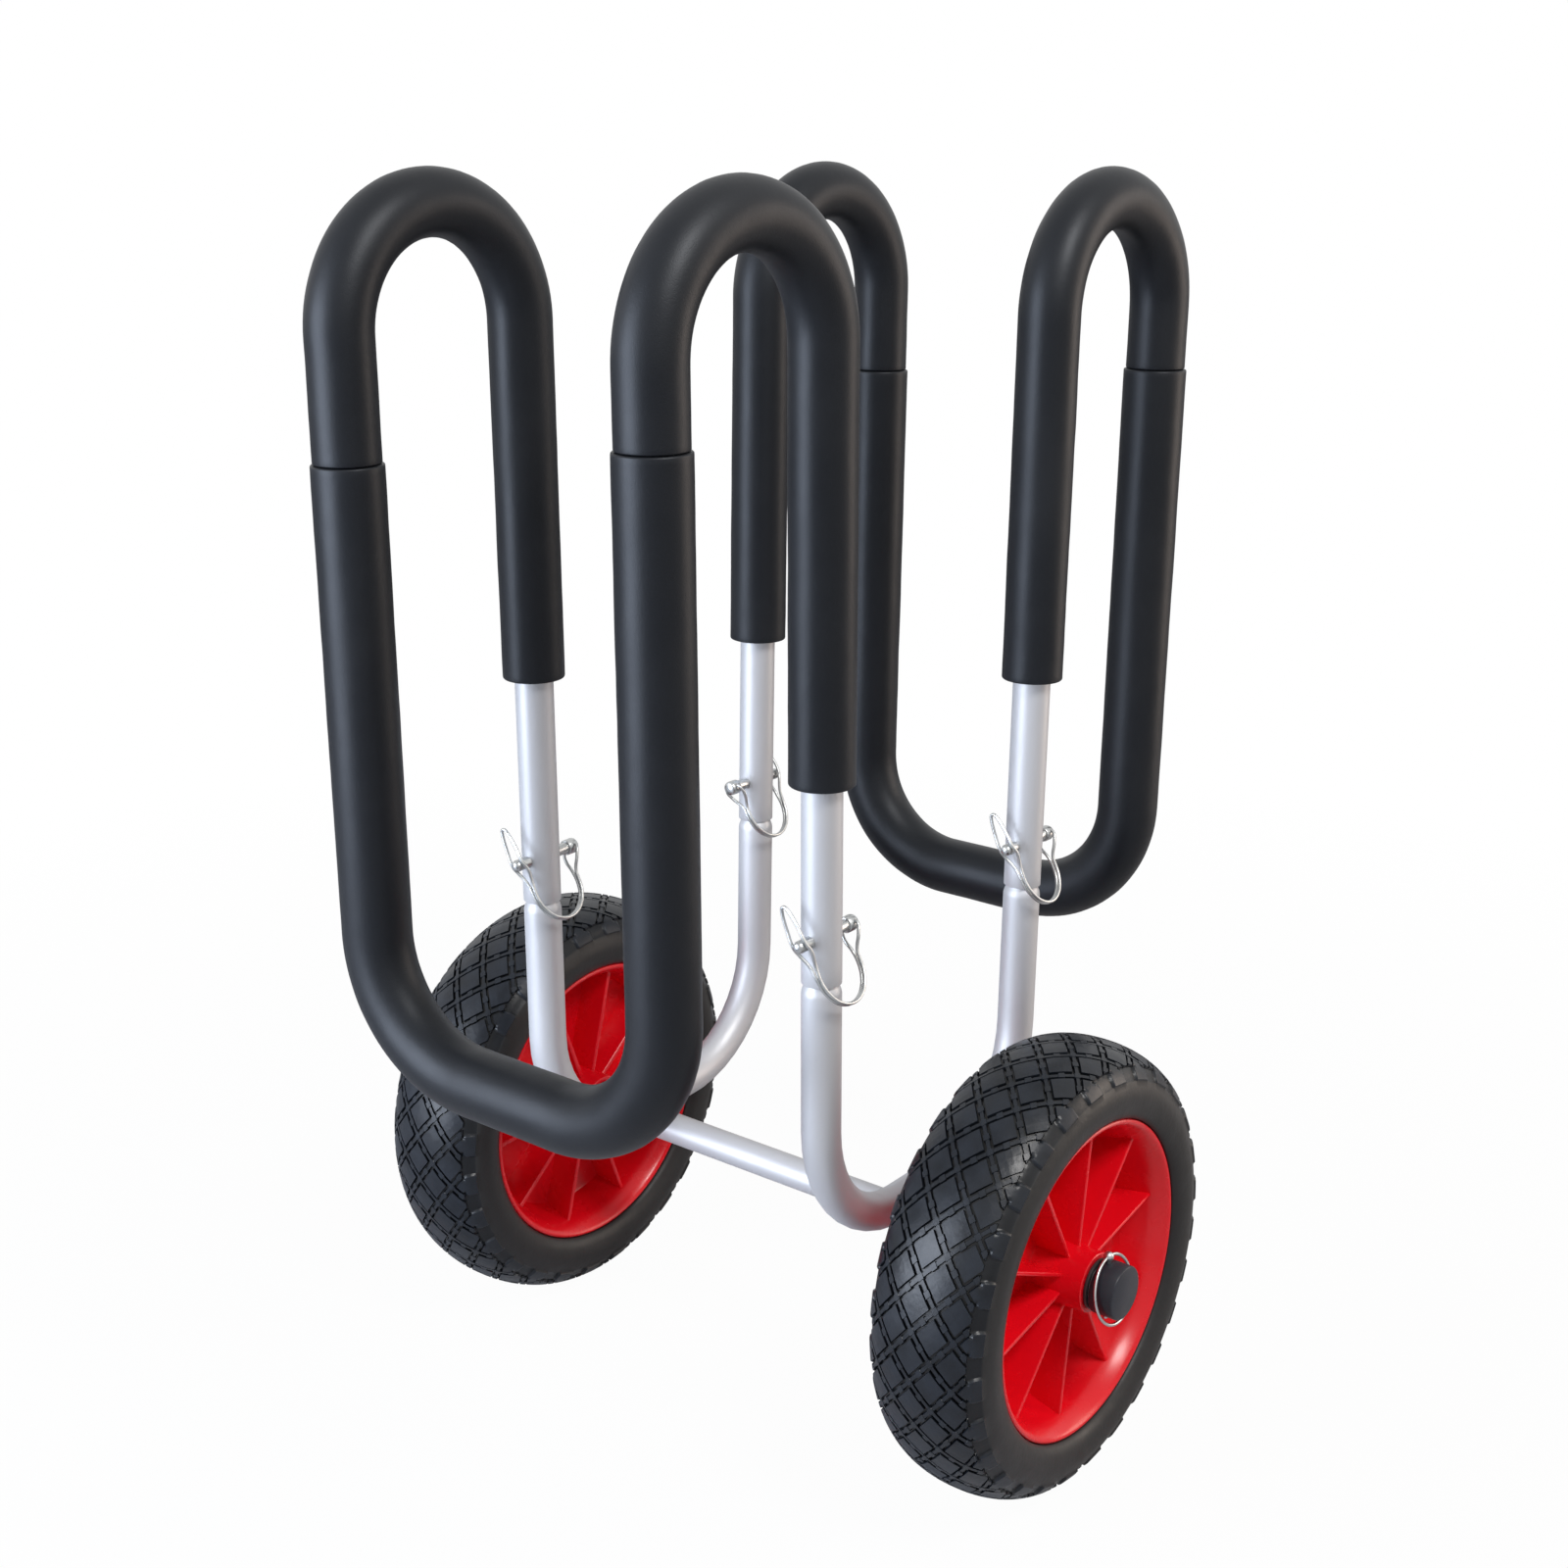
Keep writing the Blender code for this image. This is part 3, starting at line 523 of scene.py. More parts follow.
# Wire bows
# Each is one spring wire bent double. Its ends sit in the pin's head, it runs round the post,
# snaps over the nose and ends in a narrow loop for a finger.
BOW_MIDDLE = 0.0025
BOW_HALF_WIDTH = TUBE_RADIUS + 0.0078
BOW_SPREAD = 0.0069
BOW_JOIN = 0.0172
BOW_START = 0.023
BOW_DEPTH = 0.0445
BOW_PART = 0.0138
BOW_STEPS = 12
WIRE_SEAT = 0.002
WIRE_EXIT = 0.001
WIRE_TURN = 0.0012
TAB_INSET = 0.004
TAB_PLACE = PIN_TIP - TAB_INSET
TAB_NECK = 0.012
TAB_RISE = 0.026
TAB_HALF_WIDTH = 0.0023
TAB_PINCH = 0.0008
TAB_ROUND = 0.6


def bent_wire(name, points, radius, place):
    """Bends a wire smoothly through a line of points."""
    wire = begin_line(name, points)
    bpy.ops.object.mode_set(mode="OBJECT")
    bpy.ops.object.convert(target="CURVE")
    bpy.ops.object.mode_set(mode="EDIT")
    bpy.ops.curve.select_all(action="SELECT")
    bpy.ops.curve.spline_type_set(type="BEZIER")
    bpy.ops.curve.handle_type_set(type="AUTOMATIC")
    bpy.ops.object.mode_set(mode="OBJECT")
    wire = bpy.context.object
    wire.data.dimensions = "3D"
    wire.data.bevel_depth = radius
    wire.data.bevel_resolution = 3
    wire.data.resolution_u = 5
    wire.data.use_fill_caps = True
    bpy.ops.object.convert(target="MESH")
    wire = bpy.context.object
    bpy.ops.object.mode_set(mode="EDIT")
    close_up(wire)
    smooth(wire, degrees=60)
    return put(wire, place)


beside = BOW_WIRE + GAP / 2
at_head = PIN_HEAD_RADIUS + BOW_WIRE + GAP
at_pin = PIN_RADIUS + BOW_WIRE + GAP
head_side, nose_side = BOW_MIDDLE + BOW_HALF_WIDTH, BOW_MIDDLE - BOW_HALF_WIDTH
strand = [
    (0.0, PIN_HEAD_RADIUS - WIRE_SEAT, PIN_HINGE),
    (0.0, at_head - WIRE_EXIT, PIN_HINGE),
    (WIRE_TURN, at_head, PIN_HINGE),
    (BOW_SPREAD, at_head, (PIN_HINGE + head_side) / 2),
    (BOW_JOIN, beside + BOW_WIRE / 2, head_side),
]
for step in range(BOW_STEPS + 1):
    angle = math.pi * step / BOW_STEPS
    down = BOW_START + (BOW_DEPTH - BOW_START) * math.sin(angle)
    strand.append((down, beside, BOW_MIDDLE + BOW_HALF_WIDTH * math.cos(angle)))
strand += [
    (BOW_PART, beside + BOW_WIRE, nose_side),
    (PIN_RADIUS, at_pin, (nose_side - TAB_PLACE) / 2),
    (0.0, at_pin, -TAB_PLACE),
    (-TAB_NECK, at_pin - TAB_PINCH, -TAB_PLACE),
    (TAB_HALF_WIDTH - TAB_RISE, TAB_HALF_WIDTH, -TAB_PLACE),
    (BOW_WIRE / 2 - TAB_RISE, TAB_HALF_WIDTH * TAB_ROUND, -TAB_PLACE),
]
returning = [(x, -y, z) for x, y, z in reversed(strand)]
bow_line = strand + [(-TAB_RISE, 0.0, -TAB_PLACE)] + returning
for corner in CORNERS:
    wire = bent_wire(f"{corner}_bow_wire", bow_line, BOW_WIRE, pin_place(corner))
    fit(wire, f"{corner}_pin_bow", f"{corner}_bow", ZINC)

# Axle
# A round aluminium tube from wheel to wheel, cut square. The real tube is drilled near its
# ends for the clip pins; those holes are not cut.
WHEEL_X = 0.215
CAP_FROM_WHEEL = 0.0454
CAP_START = WHEEL_X + CAP_FROM_WHEEL
CAP_LENGTH = 0.0171
CAP_END = 0.0028
AXLE_HALF = CAP_START + CAP_LENGTH - CAP_END - GAP
AXLE_WALL = 0.002

axle_line = Matrix.Translation((0.0, 0.0, AXLE_Z)) @ Matrix.Rotation(math.pi / 2, 4, "Y")
axle_end = axle_line @ Vector((0, 0, -AXLE_HALF))
axle = Tube("axle_bar", axle_end, axle_line @ Vector(), AXLE_RADIUS, sides=48)
axle.straight(2 * AXLE_HALF, spacing=0.05)
fit(axle.walled(AXLE_WALL), "axle_tube", "frame", ALUMINIUM)

# Rims
# Each is one moulding in red plastic: rounded lips that hold the tyre, a barrel that tapers in
# to a thin web, a long hub, and ten thin ribs from hub to barrel on both faces.
LIP_RADIUS = 0.1078
RIM_HALF = 0.0366
LIP_WIDTH = 0.0038
BARREL_RADIUS = 0.098
BARREL_HALF = 0.0275
BARREL_FOOT = 0.092
WEB_HALF = 0.0025
HUB_RADIUS = 0.0225
HUB_TIP = 0.020
HUB_HALF = 0.041
HUB_BORE = 0.0142
HUB_EDGE = ((-0.0006, 0.0), (0.0, -0.0006))
HUB_FILLET = ((-0.0003, 0.0040), (0.0010, 0.0010), (0.0035, 0.0))
BARREL_FILLET = ((-0.0030, 0.0), (-0.0009, 0.0009), (0.0002, 0.0030))
BARREL_MOUTH = ((-0.0009, -0.0040), (0.0, -0.0005), (0.0020, 0.0034))
LIP_INSIDE = ((-0.0012, -0.0011), (0.0, 0.0003), (0.0010, 0.0010))
LIP_OUTSIDE = (
    (-0.0018, 0.0012), (-0.0008, 0.0008), (-0.0001, -0.0001), (0.0, -0.0012), (0.0, -0.0031),
)
TYRE_BED = ((-0.0030, -0.0056), (-0.0058, -0.0106))
RIB_COUNT = 10
RIB_ROOT_WIDTH = 0.0034
RIB_TOP_WIDTH = 0.0027
RIB_HALF = 0.0265
RIB_INTO_HUB = 0.004
RIB_INTO_BARREL = 0.002
RIB_EDGE = 0.0011
RIM_STEPS = 120
RIM_SMOOTH = 28
RIB_TURNS = {"right": math.radians(7), "left": math.radians(-15)}

RED = Finish("red plastic", (0.74, 0.0030, 0.0110), 0.25, Specular_IOR_Level=0.4)
flow = RED.grain(28.0, 3.0)
handled = RED.between(RED.grain(70.0, 5.0), 0.55, 0.75)
RED.vary("Roughness", flow * 0.1 + handled * 0.1 + 0.2)
RED.vary("Base Color", RED.mix(flow * 0.4, RED.colour, (0.63, 0.0022, 0.0085, 1)))
RED.bump((flow, 0.00012), (RED.grain(1500.0), 0.000006))


def wheel_place(side):
    """The middle of a wheel. Z points outward along the axle, and -X points up."""
    facing = Matrix.Rotation(0.0 if side == "right" else math.pi, 4, "Z")
    outward = facing @ Matrix.Rotation(math.pi / 2, 4, "Y")
    return Matrix.Translation((0, 0, AXLE_Z)) @ outward @ Matrix.Translation((0, 0, WHEEL_X))


def select_facing(piece, direction):
    """Selects the faces that face a direction, in edit mode."""
    shape = bmesh.from_edit_mesh(piece.data)
    for face in shape.faces:
        face.select_set(face.normal.dot(direction) > math.cos(SHARP_ANGLE))
    bmesh.update_edit_mesh(piece.data)


def spin_copies(count):
    """Repeats what is selected evenly round Z, in edit mode."""
    turn = 2 * math.pi / count * (count - 1)
    bpy.ops.mesh.spin(steps=count - 1, dupli=True, angle=turn, center=(0, 0, 0), axis=(0, 0, 1))


half_outline = [
    (HUB_BORE, HUB_HALF),
    *rounded(HUB_TIP, HUB_HALF, HUB_EDGE),
    *rounded(HUB_RADIUS, WEB_HALF, HUB_FILLET),
    *rounded(BARREL_FOOT, WEB_HALF, BARREL_FILLET),
    *rounded(BARREL_RADIUS, BARREL_HALF, BARREL_MOUTH),
    *rounded(LIP_RADIUS - LIP_WIDTH, RIM_HALF, LIP_INSIDE),
    *rounded(LIP_RADIUS, RIM_HALF, LIP_OUTSIDE + TYRE_BED),
]
rim_outline = half_outline + [(radius, -height) for radius, height in reversed(half_outline)]

for side in SIDES:
    spun = wheel_place(side) @ Matrix.Rotation(math.pi - RIB_TURNS[side], 4, "Z")
    rim = lathe(f"{side}_moulded_rim", rim_outline, Matrix(), RIM_STEPS, degrees=RIM_SMOOTH)
    root, far = HUB_RADIUS - RIB_INTO_HUB, BARREL_RADIUS + RIB_INTO_BARREL
    rib = begin(
        f"{side}_rib", bpy.ops.mesh.primitive_cube_add, size=1.0,
        location=((root + far) / 2, 0, 0), scale=(far - root, RIB_ROOT_WIDTH, 2 * RIB_HALF),
    )
    bpy.ops.mesh.select_all(action="SELECT")
    bpy.ops.mesh.bisect(plane_co=(0, 0, 0), plane_no=(0, 0, 1))
    for up in (-1, 1):
        bpy.ops.mesh.select_all(action="DESELECT")
        select_facing(rib, Vector((0, 0, up)))
        share = RIB_TOP_WIDTH / RIB_ROOT_WIDTH
        bpy.ops.transform.resize(value=(1, share, 1), center_override=(0, 0, 0))
    close_up(rib)
    ease_edges(rib, RIB_EDGE, 3)
    bpy.ops.object.mode_set(mode="EDIT")
    bpy.ops.mesh.select_all(action="SELECT")
    spin_copies(RIB_COUNT)
    bpy.ops.object.mode_set(mode="OBJECT")
    finish_with(rim, "BOOLEAN", operation="UNION", object=rib, solver="EXACT")
    bpy.data.objects.remove(rib)
    smooth(rim, RIM_SMOOTH)
    fit(put(rim, spun), f"{side}_rim", f"{side}_wheel", RED)

# Tyres
# Solid foam rubber, so they never go flat. The tread is a lattice of diamond blocks with a
# net of nubs and links in the grooves between them, and lugs round each shoulder.
WHEEL_RADIUS = 0.1524
TYRE_HALF = 0.0435
CROWN_DROP = 0.0273
CROWN_STEPS = 90
SQUARENESS = 2.19
WALL_DEPTH = 0.0170
WALL_TUCK = 0.0064
WALL_STEPS = 24
SEAT = [(0.0335, 0.1081), (0.0310, 0.1051), (0.0260, 0.1023), (0.0, 0.1023)]
PITCHES = 28
PITCH = 2 * math.pi * WHEEL_RADIUS / PITCHES
BLOCK_ROUND = PITCH / 2
BLOCK_ACROSS = 0.014
BLOCK_HEIGHT = 0.0020
BLOCK_EDGE = 0.142
LATTICE_HALF = 0.0365
LATTICE_CELLS = 4
LINK_HEIGHT = 0.0016
LINK_EDGE = 0.06
NUB_EDGE = 0.095
NUB_HALF = 0.10
LINE_SLOPE = 0.006
LUG_HALF = 0.0086
LUG_WIDE = 0.040
LUG_SIDE = (-0.0004, 0.0009)
LUG_END = 0.0470
NOTCH_FLOOR = 0.0003
TREAD_END = 0.0482
WALL_SINK = 0.0012
WALL_EASE = (0.0500, 0.0580)
SHOULDER_ARCS = [0.0374, 0.0390, 0.0405, 0.0435, LUG_END, 0.0478, 0.0484, 0.0520, 0.0570, 0.0620]
WALL_ARC = 0.0660
WALL_STRIDE = 6
SEAT_MARGIN = 0.0005
TREAD_TURNS = {"right": math.radians(180 + 5.07), "left": math.radians(180 - 6.5)}

RUBBER = Finish("black tyre", (0.0105, 0.0125, 0.016), 0.4, Specular_IOR_Level=0.32)
# The grooves and notches are painted nearly black as shade. The blocks are painted lighter and
# bluer, partly for wear and partly as a painted highlight.
GROOVE_PAINTED_SHADE = (0.0020, 0.0025, 0.0034, 1)
BLOCK_WEAR_AND_HIGHLIGHT = (0.0100, 0.0135, 0.0200, 1)
WALL_BLACK = (0.0150, 0.0144, 0.0142, 1)
raised, flank = RUBBER.painted("raised"), RUBBER.painted("flank")
worn = RUBBER.between(RUBBER.grain(60.0, 5.0), 0.35, 0.75)
cast = RUBBER.grain(420.0, 3.0)
# Painted shade in the grooves; on the blocks, wear and a painted highlight.
tread_colour = RUBBER.mix(raised * (worn * 0.6 + 0.4), GROOVE_PAINTED_SHADE, BLOCK_WEAR_AND_HIGHLIGHT)
RUBBER.vary("Base Color", RUBBER.mix(flank, tread_colour, WALL_BLACK))
RUBBER.vary("Roughness", worn * 0.12 + cast * 0.06 + flank * 0.1 + 0.28)
RUBBER.bump((RUBBER.grain(90.0, 4.0), 0.0003), (cast, 0.00008))


def tyre_section():
    """Half of the tyre's section as (arc, across, radius), from the crown to the seat's middle."""
    points = []
    power = 2 / SQUARENESS
    for step in range(CROWN_STEPS + 1):
        angle = math.pi / 2 * step / CROWN_STEPS
        drop = CROWN_DROP * (1 - max(math.cos(angle), 0.0) ** power)
        points.append((TYRE_HALF * math.sin(angle) ** power, WHEEL_RADIUS - drop))
    for step in range(1, WALL_STEPS + 1):
        angle = math.pi / 2 * step / WALL_STEPS
        across = TYRE_HALF - WALL_TUCK * (1 - math.cos(angle))
        points.append((across, WHEEL_RADIUS - CROWN_DROP - WALL_DEPTH * math.sin(angle)))
    points += SEAT
    section = [(0.0, *points[0])]
    for before, after in zip(points, points[1:]):
        section.append((section[-1][0] + math.dist(before, after), *after))
    return section


SECTION = tyre_section()
ARCS = [arc for arc, across, radius in SECTION]


def on_section(arc, lift):
    """The place at an arc from the crown, lifted off the section: (across, radius)."""
    sign = -1 if arc < 0 else 1
    index = min(max(bisect_right(ARCS, abs(arc)) - 1, 0), len(ARCS) - 2)
    start, end = SECTION[index], SECTION[index + 1]
    share = min((abs(arc) - start[0]) / (end[0] - start[0]), 1.0)
    run, fall = end[1] - start[1], end[2] - start[2]
    length = math.hypot(run, fall)
    across = start[1] + run * share - fall / length * lift
    return sign * across, start[2] + fall * share + run / length * lift


def eased(value, low, high):
    """0 below one level, 1 above the other, and a smooth rise between them."""
    share = min(max((value - low) / (high - low), 0.0), 1.0)
    return share * share * (3 - 2 * share)


def lattice_height(across, round_by):
    """The tread's height inside the lattice: blocks, grooves, and the net of nubs and links."""
    sideways, onward = across / BLOCK_ACROSS, round_by / BLOCK_ROUND
    cells = (sideways + onward) / 2, (sideways - onward) / 2
    along = [(cell + 0.5) % 1.0 for cell in cells]
    near, far = sorted(min(place, 1 - place) for place in along)
    if near > BLOCK_EDGE:
        return BLOCK_HEIGHT
    nub = far < NUB_EDGE or far > 0.5 - NUB_HALF
    if near > (NUB_EDGE if nub else LINK_EDGE):
        return 0.0
    return BLOCK_HEIGHT if nub else LINK_HEIGHT


def shoulder_height(across, round_by):
    """The lugs on the shoulders, wider as they leave the lattice, with notches between them."""
    half = LUG_HALF * (0.5 + 0.5 * eased(abs(across), LATTICE_HALF, LUG_WIDE))
    lug = 1 - eased(abs(round_by - BLOCK_ROUND), half + LUG_SIDE[0], half + LUG_SIDE[1])
    return NOTCH_FLOOR + (BLOCK_HEIGHT - NOTCH_FLOOR) * lug


def rule_lattice():
    """Cuts a flat pitch of tread along the edges of its blocks, grooves, nubs and links."""
    lines = [0.0]
    for edge in (LINK_EDGE, NUB_EDGE, BLOCK_EDGE, 0.5 - NUB_HALF):
        for line in (edge - LINE_SLOPE, edge + LINE_SLOPE):
            lines += [line, 1 - line]
    for lean in (1, -1):
        square_on = Vector((BLOCK_ROUND, lean * BLOCK_ACROSS, 0)).normalized()
        for cell in range(-LATTICE_CELLS, LATTICE_CELLS):
            for line in lines:
                across = 2 * BLOCK_ACROSS * (cell - 0.5 + line)
                bpy.ops.mesh.select_all(action="SELECT")
                bpy.ops.mesh.bisect(plane_co=(across, 0, 0), plane_no=square_on)


def draw_shoulders(piece):
    """Draws both long edges of the flat tread out over shoulder and wall to the seat's middle."""
    seat_arcs = ARCS[-len(SEAT) - 1:]
    wall_arcs = [arc for arc in ARCS if WALL_ARC < arc < seat_arcs[0] - SEAT_MARGIN]
    for sign in (-1, 1):
        bpy.ops.mesh.select_all(action="DESELECT")
        shape = bmesh.from_edit_mesh(piece.data)
        for vertex in shape.verts:
            vertex.select_set(abs(vertex.co.x - sign * LATTICE_HALF) < MERGE)
        shape.select_flush_mode()
        bmesh.update_edit_mesh(piece.data)
        reach = LATTICE_HALF
        for arc in SHOULDER_ARCS + wall_arcs[::WALL_STRIDE] + seat_arcs:
            step = (sign * (arc - reach), 0, 0)
            bpy.ops.mesh.extrude_region_move(TRANSFORM_OT_translate={"value": step})
            reach = arc


def wrap_tread(mesh):
    """Raises the tread on a flat pitch, and wraps the pitch onto the tyre's section."""
    shown = mesh.attributes.new("raised", "FLOAT", "POINT")
    wall = mesh.attributes.new("flank", "FLOAT", "POINT")
    for vertex in mesh.vertices:
        across, round_by, _ = vertex.co
        inside = abs(across) < LATTICE_HALF + MERGE
        height = (lattice_height if inside else shoulder_height)(across, round_by)
        tread = 1 - eased(abs(across), LUG_END, TREAD_END)
        lower = WALL_SINK * (1 - eased(abs(across), *WALL_EASE))
        lift = (height - BLOCK_HEIGHT) * tread - lower * (1 - tread)
        shown.data[vertex.index].value = height / BLOCK_HEIGHT * tread
        wall.data[vertex.index].value = 1 - tread
        at, radius = on_section(across, lift)
        angle = round_by / WHEEL_RADIUS
        vertex.co = (radius * math.cos(angle), radius * math.sin(angle), at)


for side in SIDES:
    middle = (0, BLOCK_ROUND, 0)
    tyre = begin(
        f"{side}_solid_tyre", bpy.ops.mesh.primitive_plane_add, size=1.0, location=middle
    )
    bpy.ops.mesh.select_all(action="SELECT")
    bpy.ops.transform.resize(value=(2 * LATTICE_HALF, PITCH, 1), center_override=middle)
    rule_lattice()
    draw_shoulders(tyre)
    bpy.ops.object.mode_set(mode="OBJECT")
    wrap_tread(tyre.data)
    bpy.ops.object.mode_set(mode="EDIT")
    bpy.ops.mesh.select_all(action="SELECT")
    spin_copies(PITCHES)
    close_up(tyre)
    smooth(tyre, degrees=42)
    spun = wheel_place(side) @ Matrix.Rotation(TREAD_TURNS[side] - math.pi / PITCHES, 4, "Z")
    fit(put(tyre, spun), f"{side}_tyre", f"{side}_wheel", RUBBER)

# Bushes, washers and stop collars
# A flanged nylon bush is pressed into each end of the hub, a plated washer runs against it,
# and an aluminium collar on the axle keeps the wheel off the frame.
BUSH_RADIUS = 0.0139
BUSH_LENGTH = 0.018
FLANGE_RADIUS = 0.017
FLANGE = 0.002
WASHER_RADIUS = 0.015
WASHER = 0.0015
COLLAR_RADIUS = 0.0155
COLLAR_LENGTH = 0.012
TURNED_STEPS = 48

NYLON = Finish("black nylon", (0.026, 0.026, 0.028), 0.42)
NYLON.vary("Roughness", NYLON.grain(120.0, 3.0) * 0.2 + 0.32)
NYLON.bump((NYLON.grain(700.0), 0.00002))


def ring(outer, inner, bottom, top):
    """The outline of a plain turned ring."""
    return [(inner, bottom), (outer, bottom), (outer, top), (inner, top)]


bore = AXLE_RADIUS + 2 * GAP
face = HUB_HALF + GAP
flanged = [
    (bore, HUB_HALF - BUSH_LENGTH), (BUSH_RADIUS, HUB_HALF - BUSH_LENGTH), (BUSH_RADIUS, face),
    (FLANGE_RADIUS, face), (FLANGE_RADIUS, face + FLANGE), (bore, face + FLANGE),
]
near = face + FLANGE + GAP
flat = ring(WASHER_RADIUS, bore, near, near + WASHER)
near = -(face + FLANGE + WASHER + 2 * GAP)
stop = ring(COLLAR_RADIUS, bore, near - COLLAR_LENGTH, near)
for side in SIDES:
    hub = wheel_place(side)
    for where, turned in (("outer", Matrix()), ("inner", Matrix.Rotation(math.pi, 4, "X"))):
        place = hub @ turned
        bush = lathe(f"{side}_{where}_flanged_bush", flanged, place, TURNED_STEPS, edge=0.0003)
        fit(bush, f"{side}_{where}_bush", f"{side}_wheel", NYLON)
        washer = lathe(f"{side}_{where}_flat_washer", flat, place, TURNED_STEPS, edge=0.0002)
        fit(washer, f"{side}_{where}_washer", "frame", ZINC)
    collar = lathe(f"{side}_turned_collar", stop, hub, TURNED_STEPS, edge=0.0008)
    fit(collar, f"{side}_stop_collar", "frame", ALUMINIUM)

# Axle caps
# A moulded black cup pushed over each end of the axle. The real cup is drilled for the clip pin;
# that hole is not cut.
CAP_RADIUS = 0.018
CAP_FACE_EDGE = ((-0.0012, 0.0), (-0.00042, -0.00042), (0.0, -0.0012))
CAP_MOUTH_EDGE = ((0.0, 0.0003), (-0.0003, 0.0))
CAP_STEPS = 64

BLACK = Finish("black plastic", (0.016, 0.018, 0.026), 0.36, Specular_IOR_Level=0.35)
BLACK.vary("Roughness", BLACK.grain(60.0, 4.0) * 0.18 + 0.28)
BLACK.bump((BLACK.grain(500.0, 3.0), 0.00003))

start, end = CAP_START - WHEEL_X, CAP_START + CAP_LENGTH - WHEEL_X
cup = [
    (0.0, end),
    *rounded(CAP_RADIUS, end, CAP_FACE_EDGE),
    *rounded(CAP_RADIUS, start, CAP_MOUTH_EDGE),
    (bore, start),
    (bore, end - CAP_END),
    (0.0, end - CAP_END),
]
for side in SIDES:
    cap = lathe(f"{side}_moulded_cap", cup, wheel_place(side), CAP_STEPS, degrees=30)
    fit(cap, f"{side}_axle_cap", "frame", BLACK)

# Clip pins and their rings
# A ball-headed pin drops through cap and axle, and a sprung wire ring hinged in the ball
# snaps round the cap to keep it there.
CLIP_FROM_END = 0.0135
CLIP_X = CAP_START + CAP_LENGTH - CLIP_FROM_END
CLIP_RADIUS = 0.002
CLIP_TIP = CAP_RADIUS + 0.0045
CLIP_NOSE = ((0.0, 0.0012), (-0.0004, 0.0003), (-0.0012, 0.0))
BALL_RADIUS = 0.0034
BALL_RISE = CAP_RADIUS + 0.004
BALL_STEPS = 12
RING_RADIUS = CAP_RADIUS + 0.0045
RING_WIRE = 0.0011
RING_LEAN = math.radians(12)
RING_START = math.radians(12)
RING_STEPS = 28

ball_end = math.pi - math.asin(CLIP_RADIUS / BALL_RADIUS)
clip_outline = []
for step in range(BALL_STEPS + 1):
    angle = ball_end * step / BALL_STEPS
    height = BALL_RISE + BALL_RADIUS * math.cos(angle)
    clip_outline.append((BALL_RADIUS * math.sin(angle), height))
clip_outline += [*rounded(CLIP_RADIUS, -CLIP_TIP, CLIP_NOSE), (0.0, -CLIP_TIP)]
ring_line = [(0.0, BALL_RADIUS - WIRE_SEAT, 0.0)]
for step in range(RING_STEPS + 1):
    angle = RING_START + 2 * (math.pi - RING_START) * step / RING_STEPS
    down = RING_RADIUS - RING_RADIUS * math.cos(angle)
    ring_line.append((down, RING_RADIUS * math.sin(angle), 0.0))
ring_line.append((0.0, WIRE_SEAT - BALL_RADIUS, 0.0))

for side in SIDES:
    at_clip = wheel_place(side) @ Matrix.Translation((0, 0, CLIP_X - WHEEL_X))
    upright = at_clip @ Matrix.Rotation(-math.pi / 2, 4, "Y")
    pin = lathe(f"{side}_ball_pin", clip_outline, upright, PIN_STEPS, degrees=50)
    fit(pin, f"{side}_clip_pin", "frame", ZINC)
    raised_by = Matrix.Translation((-BALL_RISE, 0, 0))
    hinge = at_clip @ raised_by @ Matrix.Rotation(-RING_LEAN, 4, "Y")
    wire = bent_wire(f"{side}_ring_wire", ring_line, RING_WIRE, hinge)
    fit(wire, f"{side}_clip_ring", f"{side}_ring", ZINC)

# Studio
# A white room with a pale floor that keeps a faint shadow. A tall cool light stands at the
# front left, a weaker warm one at the back right, and a small one high up at the right.
FLOOR_SIZE = 30.0
SHADOW_REACH = (0.5, 1.6)
SHADOW_SHOWN = 0.03
ROOM_GREY = (0.25, 0.25, 0.26, 1.0)
WHITE = (1.0, 1.0, 1.0, 1.0)
LIT_POINT = Vector((0.0, 0.0, 0.42))

bpy.ops.object.select_all(action="DESELECT")
bpy.ops.mesh.primitive_plane_add(size=FLOOR_SIZE, location=(0, 0, 0))
floor = bpy.context.object
floor.name = "studio_floor"
PAPER = Finish("pale paper", (0.56, 0.56, 0.57), 0.9, Specular_IOR_Level=0.0)
rays = PAPER.add("ShaderNodeLightPath")
white = PAPER.add("ShaderNodeEmission", {}, {"Color": WHITE, "Strength": 1.0})
away = PAPER.add("ShaderNodeVectorMath", {"operation": "LENGTH"}, {0: PAPER.place})
away = PAPER.between(away.outputs["Value"], *SHADOW_REACH)
share = Value(PAPER, rays.outputs["Is Camera Ray"]) * (away * SHADOW_SHOWN + (1 - SHADOW_SHOWN))
sockets = {0: share, 1: PAPER.shader.outputs[0], 2: white.outputs[0]}
blend = PAPER.add("ShaderNodeMixShader", {}, sockets)
output = PAPER.tree.nodes["Material Output"]
PAPER.tree.links.new(blend.outputs[0], output.inputs["Surface"])
floor.data.materials.append(PAPER.material)

world = bpy.data.worlds.new("Studio")
bpy.context.scene.world = world
world.use_nodes = True
room = world.node_tree
rays = room.nodes.new("ShaderNodeLightPath")


def either(first, second):
    """1 where one of two tests on a ray is 1."""
    node = room.nodes.new("ShaderNodeMath")
    node.operation = "MAXIMUM"
    room.links.new(first, node.inputs[0])
    room.links.new(second, node.inputs[1])
    return node.outputs[0]


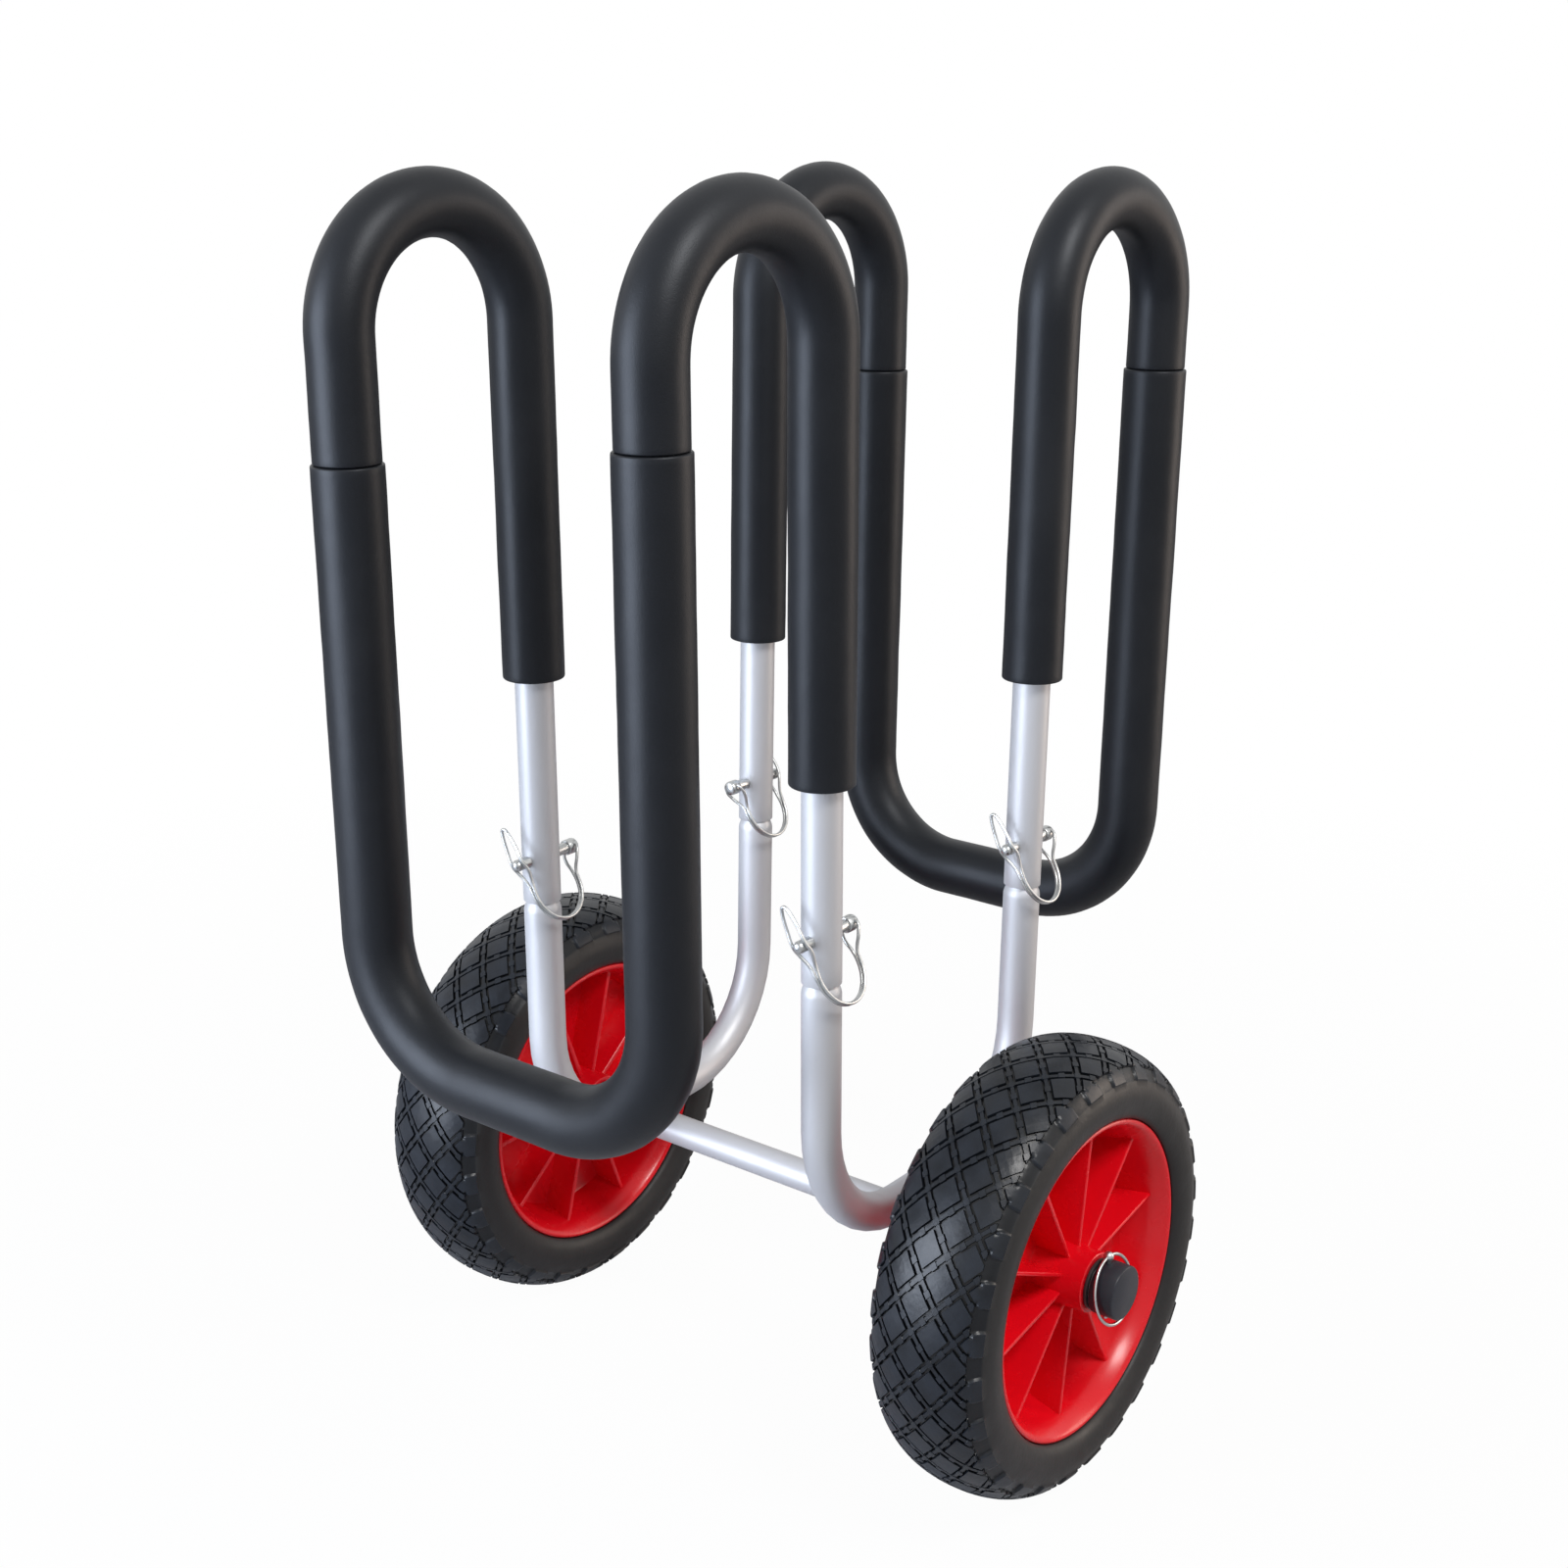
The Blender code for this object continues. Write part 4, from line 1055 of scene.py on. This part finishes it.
seen = either(rays.outputs["Is Camera Ray"], rays.outputs["Is Glossy Ray"])
seen = either(seen, rays.outputs["Is Transmission Ray"])
shades = room.nodes.new("ShaderNodeMix")
shades.data_type = "RGBA"
shades.inputs[6].default_value = ROOM_GREY
shades.inputs[7].default_value = WHITE
room.links.new(seen, shades.inputs[0])
room.links.new(shades.outputs[2], room.nodes["Background"].inputs["Color"])
room.nodes["Background"].inputs["Strength"].default_value = 1.0


def softbox(name, bearing, height, distance, size, watts, colour):
    """A flat soft light that faces the cart from a bearing and a height in degrees."""
    rise, around = math.radians(height), Vector(bearing).normalized()
    level = math.cos(rise)
    place = LIT_POINT + Vector((around.x * level, around.y * level, math.sin(rise))) * distance
    bpy.ops.object.light_add(type="AREA", location=place)
    lamp = bpy.context.object
    lamp.name = name
    lamp.rotation_euler = (LIT_POINT - place).to_track_quat("-Z", "Y").to_euler()
    lamp.data.shape = "RECTANGLE"
    lamp.data.size, lamp.data.size_y = size
    lamp.data.energy = watts
    lamp.data.color = colour


softbox(
    "key_light", bearing=(-0.36, -0.93), height=9, distance=1.9,
    size=(1.2, 1.4), watts=60.0, colour=(0.78, 0.86, 1.0),
)
softbox(
    "side_light", bearing=(0.66, 0.75), height=8, distance=2.2,
    size=(0.8, 1.4), watts=15.0, colour=(1.0, 0.83, 0.70),
)
softbox(
    "front_light", bearing=(0.97, -0.24), height=48, distance=2.4,
    size=(0.7, 0.7), watts=38.0, colour=(1.0, 0.98, 0.96),
)

# Camera
# It stands where the photograph's did, a little above the cart and to its front right.
# Its turn, tilt and roll are in degrees.
CAMERA_PLACE = (0.84939, -1.09344, 0.86164)
CAMERA_TURN = 37.891
CAMERA_TILT = -16.961
CAMERA_ROLL = 0.374
CAMERA_LENS = 49.178
CAMERA_SENSOR = 36.0

bpy.ops.object.camera_add()
camera = bpy.context.object
camera.name = "camera"
camera.data.sensor_fit = "HORIZONTAL"
camera.data.sensor_width = CAMERA_SENSOR
camera.data.lens = CAMERA_LENS
camera.data.clip_start = 0.01
camera.matrix_world = (
    Matrix.Translation(CAMERA_PLACE)
    @ Matrix.Rotation(math.radians(CAMERA_TURN), 4, "Z")
    @ Matrix.Rotation(math.radians(90 + CAMERA_TILT), 4, "X")
    @ Matrix.Rotation(math.radians(CAMERA_ROLL), 4, "Z")
)
bpy.context.scene.camera = camera
bpy.context.scene.view_settings.view_transform = "Standard"
